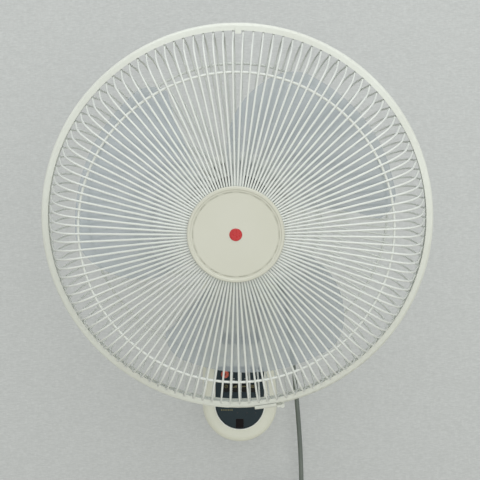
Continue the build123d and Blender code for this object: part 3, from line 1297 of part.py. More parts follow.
def least_gap(path, radius):
    """Smallest gap of a wound tube to itself, measured on points along its centre line."""
    count = 900
    points = [path @ (i / count) for i in range(count + 1)]
    skip = int(count * 6 * radius / path.length) + 2
    least = min((points[i] - points[j]).length
                for i in range(0, count, 2) for j in range(i + skip, count + 1, 2))
    return least - 2 * radius


def power_cord_coil():
    path, _ = coil_path()
    start = Plane(origin=path @ 0, z_dir=path % 0)
    coil = sweep(start * Circle(CORD_R), path=path)
    print("coil length, mm:", round(path.length, 1), "least gap:", round(least_gap(path, CORD_R), 2),
          "volume ratio:", round(coil.volume / (pi * CORD_R ** 2 * path.length), 4))
    return coil


def power_cord_tail():
    _, end = coil_path()
    return rod(CORD_R, end, (end[0], end[1], end[2] - TAIL_LENGTH))


def coil_tie():
    """Band round all the turns at the coil's top."""
    step = COIL_PITCH / 2
    low = COIL_TOP_Z + COIL_MEAN_R - 2 * step - CORD_R - 1.8
    high = COIL_TOP_Z + COIL_MEAN_R + 2 * step + CORD_R + 1.0
    x = COIL_X - COIL_MEAN_R - 3 * step
    front, rear = CORD_Y - CORD_R - 0.4, CORD_Y + COIL_PITCH + CORD_R + 0.4
    band = block(x - TIE_HALF_W, x + TIE_HALF_W, front - TIE_T, rear + TIE_T, low - TIE_T, high + TIE_T)
    return band - block(x - TIE_HALF_W - 1, x + TIE_HALF_W + 1, front, rear, low, high)


def plug_body():
    """Two-pin plug at the end of the cord, with its tapered neck."""
    _, (x, y, tail_top) = coil_path()
    top = tail_top - TAIL_LENGTH
    neck = Plane(origin=(x, y, top - PLUG_NECK / 2), z_dir=(0, 0, -1)) * Cone(CORD_R + 1, 5, PLUG_NECK)
    body = block(x - PLUG_HALF_W, x + PLUG_HALF_W, y - PLUG_HALF_T, y + PLUG_HALF_T,
                 top - PLUG_NECK - PLUG_BODY, top - PLUG_NECK + 2)
    return neck + fillet(body.edges().filter_by(Axis.Z), 5)


def plug_pins():
    _, (x, y, tail_top) = coil_path()
    top = tail_top - TAIL_LENGTH - PLUG_NECK - PLUG_BODY
    pins = []
    for centre in (x - PIN_SPACING / 2, x + PIN_SPACING / 2):
        pins.append(block(centre - PIN_T / 2, centre + PIN_T / 2, y - PIN_W / 2, y + PIN_W / 2,
                          top - PIN_LENGTH, top).solid())
    return Compound(pins)


# ------------------------------------------------------------------ the assembly
HEAD_PARTS = {
    "front_guard": front_guard, "rear_guard": rear_guard, "guard_ring": guard_ring,
    "clip_pin": clip_pin, "guard_clip": guard_clip, "guard_hook": guard_hook,
    "centre_cap": centre_cap, "cap_base": cap_base, "badge": badge,
    "fan_blades": fan_blades, "motor_shaft": motor_shaft, "drive_pin": drive_pin,
    "blade_nut": blade_nut, "rotor_core": rotor_core, "motor_front_cover": motor_front_cover,
    "motor_rear_cover": motor_rear_cover, "stator_core": stator_core,
    "stator_windings": stator_windings, "motor_bearings": motor_bearings,
    "motor_bolts": motor_bolts, "run_capacitor": run_capacitor, "guard_nut": guard_nut,
    "front_end_bell": lambda: end_bell(STATOR_Y, -1),
    "rear_end_bell": lambda: end_bell(STATOR_Y + STATOR_LENGTH, 1),
    "swing_bracket": swing_bracket, "swing_motor": swing_motor, "swing_crank": swing_crank,
    "swing_link": swing_link, "link_anchor": link_anchor, "swing_post": swing_post,
    "neck_arm": neck_arm, "neck_cover": neck_cover, "neck_screws": neck_screws,
}
BASE_PARTS = {
    "wall_bracket": wall_bracket, "base_back_cover": base_back_cover, "base_housing": base_housing,
    "control_panel": control_panel, "receiver_window": receiver_window,
    "indicator_lenses": indicator_lenses, "control_board": control_board,
    "board_screws": board_screws, "key_switches": key_switches, "power_supply": power_supply,
    "base_screws": base_screws, "off_button": off_button, "tilt_pin": tilt_pin,
    "tilt_nut": tilt_nut, "friction_washers": friction_washers, "cord_gland": cord_gland,
    "power_cord": power_cord, "power_cord_coil": power_cord_coil,
    "power_cord_tail": power_cord_tail, "coil_tie": coil_tie, "plug_body": plug_body,
    "plug_pins": plug_pins,
}
for number, key_x in enumerate(KEY_XS, 1):
    BASE_PARTS[f"key_{number}"] = lambda x=key_x: key_button(x)

os.makedirs("parts", exist_ok=True)
for name, make in BASE_PARTS.items():
    export_step(make(), f"parts/{name}.step")
for name, make in HEAD_PARTS.items():
    export_step(HEAD * make(), f"parts/{name}.step")
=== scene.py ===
"""Wall mounted fan, dressed for a picture: finishes for every part of the frame, the wire guards,
the motor's front cover, the latch, the hanging cord with its ribbed gland, coil and plug, the
screws, and the bead and prints of the control panel. Metres, in the frame's own axes: X to the
right, Y into the wall, Z up."""
import bpy
from math import acos, atan2, cos, degrees, pi, radians, sin, tan
from mathutils import Matrix, Vector


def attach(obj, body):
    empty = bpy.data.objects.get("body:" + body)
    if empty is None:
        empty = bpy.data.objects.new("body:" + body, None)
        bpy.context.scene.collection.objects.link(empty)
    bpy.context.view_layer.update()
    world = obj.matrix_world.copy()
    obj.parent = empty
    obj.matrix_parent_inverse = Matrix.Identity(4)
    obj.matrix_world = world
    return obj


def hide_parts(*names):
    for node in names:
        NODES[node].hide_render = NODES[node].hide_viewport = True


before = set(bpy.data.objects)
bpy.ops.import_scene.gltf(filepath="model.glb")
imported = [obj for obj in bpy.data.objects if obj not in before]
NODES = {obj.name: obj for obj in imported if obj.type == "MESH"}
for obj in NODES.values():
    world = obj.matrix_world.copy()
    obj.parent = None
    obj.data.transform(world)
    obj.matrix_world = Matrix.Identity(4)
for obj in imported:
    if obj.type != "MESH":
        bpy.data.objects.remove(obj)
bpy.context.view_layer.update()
MM = 0.001

# ------------------------------------------------------------------ sizes, in millimetres
# guards, in the head's own axes: radius from its axis and distance forward of the ring
SPOKES = 120
SPOKE_START = -0.9
SPOKE_WIRE_R = 1.15
MID_WIRE_R = 1.5
RIM_WIRE_R = 2.0
RIM_R = 219.8
RIM_U = 2.35
RIM_INSET = 4.4
RIM_BEND = 2.0
WELD = 0.4
FRONT_CORNER = (203.0, 58.0)
FRONT_INNER = (46.0, 76.15)
FRONT_BEND = 30.0
FRONT_RINGS = (175.0, 48.0)
REAR_CORNER = (204.0, -39.5)
REAR_INNER = (47.0, -46.0)
REAR_BEND = 24.0
REAR_RINGS = (176.5,)
PLATE_R = 50.0
PLATE_BORE = 14.3
PLATE_FRONT = 46.63
PLATE_T = 1.4
PLATE_VENT = (31.0, 45.8)  # radii of its arched openings
VENT_SHARES = 14           # spokes' shares of the circle that an opening takes
BAR_SHARES = 6             # and those that the bar beside it takes
HEAD = Matrix.Translation((0, -0.285, 0.160)) @ Matrix.Rotation(radians(12), 4, "X")

# front cover of the motor: half its section (radius, back), its vents (radii, span) and pillars
COVER_FACE = 48.03
COVER_SECTION = [(7.0, 39.03), (14.0, 39.03), (14.0, COVER_FACE), (59.0, COVER_FACE), (63.0, 52.03),
                 (63.0, 64.0), (60.6, 64.0), (60.6, 53.03), (58.0, 50.43), (7.0, 50.43)]
FACE_VENT = (30.5, 47.5, 44.0)
RIM_VENT = (58.2, 61.4, 9.0)
PILLAR_AT = 50.0
PILLAR_R = 3.5
PILLAR_BORE_R = 1.7
PILLAR_LENGTH = 10.2
PILLAR_ANGLES = (30, 150, 210, 330)

# latch under the ring: outline of its lever (radius, forward), and where it starts and ends
LATCH_SECTION = [(225.35, -5.6), (225.35, 3.05), (224.9, 4.75), (223.7, 6.0), (222.6, 6.4), (222.6, 7.0),
                 (224.3, 6.9), (226.3, 5.9), (227.6, 4.3), (228.0, 2.6), (228.0, -5.6)]
LATCH_ANGLE = -76.5       # of its pin about the head's axis; 0 is to the right
LATCH_START = -1.6
LATCH_END = -8.3
PIN_AT = 228.2
EAR_R = 2.3
EAR_IN = 3.3
EAR_OUT = 6.3
EAR_BORE_R = 1.15
ARM_REACH = 3.6           # half the length of the arms between the ears and the lever

# cord, its gland and its plug
CORD_R = 3.1
CORD_Y = -20.0
GLAND_EXIT = (49.25, 79.6)
GLAND_ANGLE = 50.0
GLAND_BEND = 34.0
GLAND_TURN = 24.0
GLAND_INSIDE = 9.0
GLAND_OUTSIDE = 6.6
GLAND_COLLAR_R = 5.35
GLAND_FLANGE_R = 5.9
GLAND_RIBS = 6
CORD_ROUTE = [(61.8, 56.2), (63.2, 45.2), (64.7, 31.4), (66.3, 15.0), (68.5, -4.0), (71.1, -25.0),
              (73.6, -48.0), (76.0, -73.0), (78.2, -99.0), (80.1, -125.0), (81.6, -151.0),
              (82.6, -178.0), (83.0, -204.0)]
COIL_X = 83.0
COIL_TOP_Z = -240.0
COIL_MEAN_R = 34.0
COIL_PITCH = 6.8
COIL_LEAD = 12.0
TAIL_LENGTH = 48.0
PLUG_PLACE = (83.0, -13.2, -300.0)     # where the cord enters the plug
GRIP_SIZE = (24, 16, 22)
GRIP_RIBS = 5             # on each of its faces
GRIP_RIB_PITCH = 3.0
NECK_RIBS = 4
NECK_RIB_PITCH = 3.4
PIN_SIZE = (1.5, 6.2, 17)
PIN_OFFSET = 6.35         # of each pin from the plug's middle

# control panel
PANEL_Y = -61.8
PRINT_T = 0.12            # thickness of a printed mark
KEY_XS = (-17.8, -6.2, 5.4, 17.0)
KEY_Z = -57.9
KEY_FRONT_Y = -62.7
ICON_Z = KEY_Z + 2.3
OFF_POS = (-19.5, -39.7)
FOOT_Z = -79.75           # centre of the panel's half round foot
BEAD_HALF_W = 33.0
BEAD_TOP = -28.3
BEAD_ROUND = 4.7
BEAD_R = 0.85
BEAD_Y = -62.55

# screws
NECK_SCREWS = [(-8.64, -75.443, 23.945), (8.64, -75.443, 23.945), (-12.0, -102.374, 37.163),
               (12.0, -102.374, 37.163), (-12.0, -131.1, 51.263), (12.0, -131.1, 51.263)]
NECK_OUT = Vector((0.0, -0.44063, -0.89769))      # out of the neck's underside
CASE_SCREWS = [(-40.0, 72.0), (40.0, 72.0), (-40.0, -70.0), (40.0, -70.0)]
THREAD_PITCH = 0.9


# ------------------------------------------------------------------ finishes
FINISHES = {}             # materials by name; each Finish adds its own


def linear(colour):
    """Scene colour of an sRGB triple, 0 to 255."""
    parts = [c / 255 for c in colour]
    return [c / 12.92 if c <= 0.04045 else ((c + 0.055) / 1.055) ** 2.4 for c in parts]


class Finish:
    """A Principled material with patterns in the piece's own coordinates."""

    def __init__(self, name, colour, roughness, **sockets):
        self.material = bpy.data.materials.new(name)
        self.material.use_nodes = True
        FINISHES[name] = self.material
        self.tree = self.material.node_tree
        self.surface = self.tree.nodes["Principled BSDF"]
        self.surface.inputs["Base Color"].default_value = (*linear(colour), 1)
        self.surface.inputs["Roughness"].default_value = roughness
        for socket, value in sockets.items():
            self.surface.inputs[socket.replace("_", " ")].default_value = value
        self.colour = colour
        self.roughness = roughness
        self.place = self.tree.nodes.new("ShaderNodeTexCoord").outputs["Object"]
        self.normal = None

    def link(self, start, end):
        self.tree.links.new(start, end)

    def noise(self, scale, detail=2.0, stretch=None):
        node = self.tree.nodes.new("ShaderNodeTexNoise")
        node.inputs["Scale"].default_value = scale
        node.inputs["Detail"].default_value = detail
        if stretch:
            mapping = self.tree.nodes.new("ShaderNodeMapping")
            mapping.inputs["Scale"].default_value = stretch
            self.link(self.place, mapping.inputs["Vector"])
            self.link(mapping.outputs["Vector"], node.inputs["Vector"])
        else:
            self.link(self.place, node.inputs["Vector"])
        return node.outputs["Fac"]

    def spread(self, value, low, high, from_low=0.3, from_high=0.7):
        node = self.tree.nodes.new("ShaderNodeMapRange")
        node.inputs["From Min"].default_value = from_low
        node.inputs["From Max"].default_value = from_high
        node.inputs["To Min"].default_value = low
        node.inputs["To Max"].default_value = high
        self.link(value, node.inputs["Value"])
        return node.outputs["Result"]

    def blend(self, factor, first, second):
        """Colour between two inputs, each a triple or another node's output."""
        node = self.tree.nodes.new("ShaderNodeMix")
        node.data_type = "RGBA"
        for socket, value in ((node.inputs[6], first), (node.inputs[7], second)):
            if isinstance(value, (tuple, list)):
                socket.default_value = (*linear(value), 1)
            else:
                self.link(value, socket)
        self.link(factor, node.inputs[0])
        return node.outputs[2]

    def mottle(self, other, scale=9.0, detail=3.0):
        """Slow drift between the base colour and another."""
        factor = self.spread(self.noise(scale, detail), 0.0, 1.0)
        out = self.blend(factor, self.colour, other)
        self.link(out, self.surface.inputs["Base Color"])
        self.shade = out
        return self

    def dust(self, colour, amount=0.35):
        """A thin layer on what faces up."""
        geometry = self.tree.nodes.new("ShaderNodeNewGeometry")
        split = self.tree.nodes.new("ShaderNodeSeparateXYZ")
        self.link(geometry.outputs["Normal"], split.inputs["Vector"])
        up = self.spread(split.outputs["Z"], 0.0, amount, 0.55, 1.0)
        out = self.blend(up, self.shade, colour)
        self.link(out, self.surface.inputs["Base Color"])
        self.shade = out
        return self

    def uneven(self, spread=0.08, scale=60.0):
        value = self.spread(self.noise(scale), self.roughness - spread, self.roughness + spread)
        self.link(value, self.surface.inputs["Roughness"])
        return self

    def bump(self, height, strength, distance):
        node = self.tree.nodes.new("ShaderNodeBump")
        node.inputs["Strength"].default_value = strength
        node.inputs["Distance"].default_value = distance
        self.link(height, node.inputs["Height"])
        if self.normal is not None:
            self.link(self.normal, node.inputs["Normal"])
        self.normal = node.outputs["Normal"]
        self.link(self.normal, self.surface.inputs["Normal"])
        return self

    def grain(self, scale=1800.0, strength=0.12, distance=0.0001):
        return self.bump(self.noise(scale, 2.0), strength, distance)

    def wave(self, scale, direction="Y", distortion=0.0):
        node = self.tree.nodes.new("ShaderNodeTexWave")
        node.bands_direction = direction
        node.inputs["Scale"].default_value = scale
        node.inputs["Distortion"].default_value = distortion
        self.link(self.place, node.inputs["Vector"])
        return node.outputs["Fac"]


def moulded(name, colour, other, roughness=0.42, grain=1500.0, strength=0.1):
    """Moulded plastic: a slow drift of colour, an uneven gloss and a fine grain."""
    return Finish(name, colour, roughness).mottle(other).uneven().grain(grain, strength)


def small(name, colour, other, roughness, drift, gloss, grain=None, **sockets):
    """A small part or print: scale of its drift of colour, spread and scale of its gloss, and scale
    and strength of its grain."""
    finish = Finish(name, colour, roughness, **sockets).mottle(other, drift).uneven(*gloss)
    return finish.grain(*grain) if grain else finish


def metal(name, colour, roughness, brushed=None):
    """Metal with a fine grain, or brushed along the way that its noise is stretched."""
    finish = Finish(name, colour, roughness, Metallic=1.0).uneven(0.1, 90.0)
    if brushed:
        return finish.bump(finish.noise(600.0, 3.0, brushed), 0.15, 0.00005)
    return finish.grain(900.0, 0.08)


moulded("guard_wire", (214, 218, 213), (206, 210, 205), 0.36, 700.0, 0.06)
moulded("ring_plastic", (216, 220, 212), (209, 212, 203), 0.40).dust((208, 210, 203), 0.2)
moulded("cap_plastic", (199, 200, 188), (194, 195, 181), 0.38, 2200.0, 0.06)
moulded("base_plastic", (215, 217, 203), (208, 210, 195), 0.42).dust((202, 202, 191), 0.35)
# black paint of the end bells, partly painted shade: it darkens the inside of the motor seen through the
# cover's vents
moulded("bell_black_and_shade", (34, 35, 35), (27, 28, 28), 0.6, 900.0, 0.15)
# paler, glossier plastic of the panel's bead, partly painted highlight: it makes the bead read as a bright
# line along the panel's edge
moulded("bead_plastic_and_highlight", (228, 231, 224), (221, 223, 215), 0.3, 1500.0, 0.05)
moulded("motor_plastic", (218, 220, 211), (211, 213, 202), 0.45).dust((200, 200, 190), 0.4)
moulded("tie_white", (214, 214, 206), (203, 203, 194), 0.5, 1200.0, 0.2)
moulded("acetal", (225, 224, 214), (215, 213, 202), 0.35, 900.0, 0.05)
moulded("capacitor_can", (52, 54, 58), (44, 46, 50), 0.45, 900.0, 0.1)
moulded("nut_plastic", (206, 206, 194), (196, 195, 181), 0.4, 1000.0, 0.08)
moulded("blade_nut_plastic", (172, 182, 188), (160, 171, 178), 0.34, 900.0, 0.06)

small("badge_red", (188, 30, 34), (176, 24, 30), 0.28, 60.0, (0.05, 300.0), (900.0, 0.03), Coat_Weight=0.3)
small("panel_film", (42, 54, 59), (35, 47, 53), 0.45, 25.0, (0.06, 140.0), (2600.0, 0.12),
      Specular_IOR_Level=0.12)
small("key_black", (12, 12, 11), (19, 18, 15), 0.5, 120.0, (0.08, 200.0), (2400.0, 0.15),
      Specular_IOR_Level=0.2)
small("stop_orange", (196, 84, 58), (176, 66, 48), 0.36, 150.0, (0.06, 200.0), (1500.0, 0.05),
      Coat_Weight=0.2)
small("stop_mark", (128, 40, 30), (112, 34, 26), 0.45, 300.0, (0.05, 500.0))
small("lamp_lens", (158, 160, 158), (128, 132, 134), 0.2, 400.0, (0.05, 400.0), Coat_Weight=0.3)
small("receiver", (22, 17, 19), (17, 14, 17), 0.3, 90.0, (0.04, 120.0), Specular_IOR_Level=0.06)
small("cord_grey", (103, 111, 104), (93, 101, 95), 0.52, 30.0, (0.07, 90.0), (1400.0, 0.18))
small("print_white", (206, 208, 202), (186, 189, 184), 0.5, 500.0, (0.05, 600.0))
small("print_olive", (118, 114, 78), (98, 95, 62), 0.5, 500.0, (0.05, 600.0))
# colour of three small dark triangles on the panel below the ring
small("dark_triangle_finish", (27, 30, 36), (33, 36, 40), 0.5, 500.0, (0.05, 600.0))
small("fibre", (118, 82, 56), (98, 66, 44), 0.7, 200.0, (0.06, 300.0), (1800.0, 0.3))

metal("steel", (172, 174, 176), 0.32, (1.0, 0.06, 1.0))
metal("dark_steel", (58, 58, 56), 0.38)
metal("zinc", (182, 186, 188), 0.42)
metal("bronze", (176, 134, 84), 0.4)
metal("aluminium", (196, 198, 200), 0.5)
metal("nickel", (200, 196, 184), 0.24, (1.0, 1.0, 0.05))


def blade_finish():
    """Smoky blue plastic that lets light through, more so near the hub."""
    finish = Finish("blade_plastic", (190, 198, 203), 0.30, Alpha=0.45)
    reach = finish.tree.nodes.new("ShaderNodeVectorMath")
    reach.operation = "DISTANCE"
    reach.inputs[1].default_value = HEAD.to_translation()
    finish.link(finish.place, reach.inputs[0])
    thin = finish.spread(reach.outputs["Value"], 0.05, 0.45, 0.05, 0.11)
    finish.link(thin, finish.surface.inputs["Alpha"])
    finish.mottle((183, 192, 198), 12.0).uneven(0.06, 40.0).grain(500.0, 0.04)


def lamination_finish():
    """Steel sheets in a stack, seen edge on."""
    finish = small("lamination", (96, 98, 101), (78, 80, 84), 0.45, 80.0, (0.08, 200.0), Metallic=0.9)
    finish.bump(finish.wave(320.0, "Y"), 0.5, 0.0002)


def winding_finish():
    """Lacquered copper wire, laid round the stator's ends."""
    finish = small("winding", (176, 92, 48), (148, 72, 36), 0.3, 120.0, (0.08, 300.0), Metallic=0.8,
                   Coat_Weight=0.4)
    finish.bump(finish.wave(500.0, "Z", 3.0), 0.7, 0.0003)


def board_finish(name, colour, other):
    """Circuit board with copper tracks under the lacquer."""
    finish = Finish(name, colour, 0.38, Coat_Weight=0.3)
    brick = finish.tree.nodes.new("ShaderNodeTexBrick")
    brick.inputs["Scale"].default_value = 150.0
    brick.inputs["Mortar Size"].default_value = 0.09
    brick.inputs["Color1"].default_value = (*linear(colour), 1)
    brick.inputs["Color2"].default_value = (*linear(colour), 1)
    brick.inputs["Mortar"].default_value = (*linear(other), 1)
    turn = finish.tree.nodes.new("ShaderNodeMapping")
    turn.inputs["Rotation"].default_value = (pi / 2, 0, 0)
    finish.link(finish.place, turn.inputs["Vector"])
    finish.link(turn.outputs["Vector"], brick.inputs["Vector"])
    finish.link(brick.outputs["Color"], finish.surface.inputs["Base Color"])
    finish.uneven(0.06, 200.0).bump(brick.outputs["Fac"], 0.3, 0.00005)


blade_finish()
lamination_finish()
winding_finish()
board_finish("board_green", (38, 84, 58), (58, 112, 74))
board_finish("board_brown", (128, 96, 54), (158, 122, 70))

NODE_FINISH = {
    "guard_wire": ("front_guard", "rear_guard"),
    "ring_plastic": ("guard_ring", "guard_clip", "guard_hook"),
    "cap_plastic": ("centre_cap", "cap_base"),
    "badge_red": ("badge",),
    "blade_plastic": ("fan_blades",),
    "blade_nut_plastic": ("blade_nut",),
    "steel": ("motor_shaft", "drive_pin", "swing_post", "link_anchor", "clip_pin", "swing_link", "tilt_pin"),
    "zinc": ("wall_bracket", "tilt_nut", "base_screws", "board_screws", "motor_bolts"),
    "dark_steel": ("neck_screws",),
    "aluminium": ("swing_motor",),
    "bell_black_and_shade": ("front_end_bell", "rear_end_bell"),
    "lamination": ("stator_core", "rotor_core"),
    "winding": ("stator_windings",),
    "bronze": ("motor_bearings",),
    "capacitor_can": ("run_capacitor",),
    "nut_plastic": ("guard_nut",),
    "motor_plastic": ("motor_front_cover", "motor_rear_cover", "swing_bracket"),
    "base_plastic": ("base_housing", "base_back_cover", "neck_arm", "neck_cover"),
    "acetal": ("swing_crank",),
    "fibre": ("friction_washers",),
    "panel_film": ("control_panel",),
    "receiver": ("receiver_window",),
    "lamp_lens": ("indicator_lenses",),
    "board_green": ("control_board",),
    "board_brown": ("power_supply",),
    "key_black": ("key_1", "key_2", "key_3", "key_4", "key_switches"),
    "stop_orange": ("off_button",),
    "cord_grey": ("cord_gland", "power_cord", "power_cord_coil", "power_cord_tail", "plug_body"),
    "tie_white": ("coil_tie",),
    "nickel": ("plug_pins",),
}
for finish_name, node_names in NODE_FINISH.items():
    for node_name in node_names:
        slots = NODES[node_name].data.materials
        slots.clear()
        slots.append(FINISHES[finish_name])


# ------------------------------------------------------------------ modelling
def clear_selection():
    if bpy.context.object and bpy.context.object.mode != "OBJECT":
        bpy.ops.object.mode_set(mode="OBJECT")
    for thing in list(bpy.context.selected_objects):
        thing.select_set(False)


def pick(thing):
    clear_selection()
    bpy.context.view_layer.objects.active = thing
    thing.select_set(True)
    return thing


def started(name):
    """Names the primitive that has just been added."""
    thing = bpy.context.object
    thing.name = thing.data.name = name
    return thing


def settle(thing):
    """Puts the piece's place into its mesh and leaves its object at the origin."""
    pick(thing)
    bpy.ops.object.transform_apply(location=True, rotation=True, scale=True)
    return thing


def placed(thing, matrix):
    """Moves a piece whose place is in its mesh."""
    thing.data.transform(matrix)
    return thing


def apply_modifiers(thing):
    pick(thing)
    for modifier in list(thing.modifiers):
        bpy.ops.object.modifier_apply(modifier=modifier.name)
    return thing


def edit_all():
    """Edit mode with everything selected."""
    bpy.ops.object.mode_set(mode="EDIT")
    bpy.ops.mesh.select_all(action="SELECT")


def sewn(sides=0):
    """Ends an edit: merges what coincides and closes openings of up to so many sides."""
    bpy.ops.mesh.select_all(action="SELECT")
    bpy.ops.mesh.remove_doubles(threshold=0.00001)
    if sides:
        bpy.ops.mesh.fill_holes(sides=sides)
    bpy.ops.mesh.normals_make_consistent(inside=False)
    bpy.ops.object.mode_set(mode="OBJECT")


def bevel(thing, width, segments=1, angle=30):
    """Modifier that rounds the edges that turn by more than an angle."""
    edges = thing.modifiers.new("edges", "BEVEL")
    edges.width = width * MM
    edges.segments = segments
    edges.limit_method = "ANGLE"
    edges.angle_limit = radians(angle)


def cylinder(name, place, radius, depth, sides=28, turn=(pi / 2, 0, 0)):
    """A round bar, sizes in millimetres; its axis is along Y unless turn says otherwise."""
    clear_selection()
    bpy.ops.mesh.primitive_cylinder_add(vertices=sides, radius=radius * MM, depth=depth * MM,
                                        location=[c * MM for c in place], rotation=turn)
    return started(name)


def cuboid(name, place, size, turn=(0, 0, 0)):
    """A block, sizes in millimetres."""
    clear_selection()
    bpy.ops.mesh.primitive_cube_add(size=MM, location=[c * MM for c in place], rotation=turn)
    block = started(name)
    block.scale = size
    return settle(block)


def copies_of(thing, matrices):
    """Copies of a piece, each with its own mesh, one for each place."""
    made = []
    for matrix in matrices:
        copy = thing.copy()
        copy.data = thing.data.copy()
        copy.data.transform(matrix)
        bpy.context.scene.collection.objects.link(copy)
        made.append(copy)
    bpy.data.objects.remove(thing)
    return made


def finish_piece(thing, finish_name, body, smooth=None):
    if smooth is not None:
        pick(thing)
        bpy.ops.object.shade_smooth_by_angle(angle=radians(smooth))
    thing.data.materials.clear()
    thing.data.materials.append(FINISHES[finish_name])
    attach(thing, body)
    clear_selection()
    return thing


def joined(things, name):
    clear_selection()
    for thing in things:
        thing.select_set(True)
    bpy.context.view_layer.objects.active = things[0]
    if len(things) > 1:
        bpy.ops.object.join()
    whole = bpy.context.object
    whole.name = whole.data.name = name
    return whole


def subtract(thing, tool):
    """Modifier that cuts one piece out of another."""
    cut = thing.modifiers.new("cut", "BOOLEAN")
    cut.operation = "DIFFERENCE"
    cut.object = tool


def cut_out(thing, cutters):
    """Cuts pieces out of another and removes them."""
    tool = joined(cutters, "cutters")
    subtract(thing, tool)
    apply_modifiers(thing)
    bpy.data.objects.remove(tool)
    return thing


def tube(name, kind, points, radius, sides):
    """A curve through points, thick as a round wire, and its spline."""
    curve = bpy.data.curves.new(name, "CURVE")
    curve.dimensions = "3D"
    spline = curve.splines.new(kind)
    spline.points.add(len(points) - 1)
    for point, place in zip(spline.points, points):
        point.co = (*place, 1)
    curve.bevel_depth = radius
    curve.bevel_resolution = sides
    curve.use_fill_caps = True
    thing = bpy.data.objects.new(name, curve)
    bpy.context.scene.collection.objects.link(thing)
    return thing, spline


# ------------------------------------------------------------------ camera
camera_data = bpy.data.cameras.new("camera")
camera = bpy.data.objects.new("camera", camera_data)
bpy.context.scene.collection.objects.link(camera)
camera_data.lens = 97.8
camera_data.sensor_width = 36.0
camera.location = (0.025, -1.785, 0.1378)
camera.rotation_euler = (radians(90), 0, radians(0.82))
bpy.context.scene.camera = camera


# ------------------------------------------------------------------ cord, coil and plug
def gland_point(turned_by):
    first, now = radians(GLAND_ANGLE), radians(GLAND_ANGLE + turned_by)
    x = GLAND_EXIT[0] + GLAND_OUTSIDE * cos(first) + GLAND_BEND * (sin(now) - sin(first))
    z = GLAND_EXIT[1] - GLAND_OUTSIDE * sin(first) - GLAND_BEND * (cos(first) - cos(now))
    return Vector((x, CORD_Y, z)), Vector((cos(now), 0, -sin(now)))


def half_turn(points, x, y, radius, side, rise=0.0):
    """Six control points round a half turn; the spline between them lies on its circle."""
    end = x + side * 2 * radius
    middle = (x + end) / 2
    for step in range(6):
        angle = radians(15 + 30 * step)
        reach = radius / cos(radians(15))
        points.append((middle - side * reach * cos(angle), y + rise * (step + 0.5) / 6,
                       COIL_TOP_Z + side * reach * sin(angle)))
    return end


def cord_line():
    """Control points of the whole cord, from the gland's tip to the plug."""
    tip, _ = gland_point(GLAND_TURN)
    points = [tuple(tip)] + [(x, CORD_Y, z) for x, z in CORD_ROUTE]
    points.append((COIL_X, CORD_Y, COIL_TOP_Z + COIL_LEAD))
    step = COIL_PITCH / 2
    radii = [COIL_MEAN_R + step * count for count in (3, 2, 1, 0, -1, -2, -3, -2, -1, 0, 1, 2)]
    x, y, side = COIL_X, CORD_Y, -1
    for turn, radius in enumerate(radii):
        rise = COIL_PITCH if turn == 6 else 0.0
        x = half_turn(points, x, y, radius, side, rise)
        y += rise
        side = -side
    bottom = COIL_TOP_Z - COIL_LEAD - TAIL_LENGTH
    points += [(x, y, bottom + TAIL_LENGTH), (x, y, bottom + TAIL_LENGTH / 2), (x, y, bottom)]
    return [Vector(p) * MM for p in points]


def make_cord():
    points = cord_line()
    lead, spline = tube("power_lead", "NURBS", points, CORD_R * MM, 5)
    spline.order_u = 3
    spline.use_endpoint_u = True
    spline.resolution_u = 6
    lead.data.materials.append(FINISHES["cord_grey"])
    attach(lead, "wall_base")
    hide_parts("power_cord", "power_cord_coil", "power_cord_tail")
    return lead, points


def sleeve(name, points, radii, sides):
    """A round sleeve whose radius changes along its line, as a mesh."""
    thing, spline = tube(name, "POLY", [Vector(place) * MM for place in points], MM, sides)
    for point, radius in zip(spline.points, radii):
        point.radius = radius
    pick(thing)
    bpy.ops.object.convert(target="MESH")
    return started(name)


def cord_gland():
    """Strain relief: a plain collar through the base's side, then ribs that shrink down the cord."""
    point, direction = gland_point(0)
    straight = GLAND_INSIDE + GLAND_OUTSIDE
    start = point - direction * straight
    points, radii = [], []
    for along, radius in ((0.0, 4.6), (0.8, GLAND_COLLAR_R), (straight - 4.6, GLAND_COLLAR_R),
                          (straight - 4.4, GLAND_FLANGE_R), (straight - 1.6, GLAND_FLANGE_R),
                          (straight - 1.2, 5.4)):
        points.append(start + direction * along)
        radii.append(radius)
    for rib in range(GLAND_RIBS):
        share = rib / GLAND_RIBS
        crest, root = 5.1 - 1.0 * share, 4.2 - 0.6 * share
        for part, radius in ((0.10, root), (0.40, root), (0.50, crest), (0.90, crest), (1.0, root)):
            place, _ = gland_point(GLAND_TURN * (rib + part) / GLAND_RIBS)
            points.append(place)
            radii.append(radius)
    place, way = gland_point(GLAND_TURN)
    points.append(place + way * 0.6)
    radii.append(3.2)
    gland = sleeve("ribbed_gland", points, radii, 6)
    finish_piece(gland, "cord_grey", "wall_base", 35)
    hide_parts("cord_gland")
    return gland


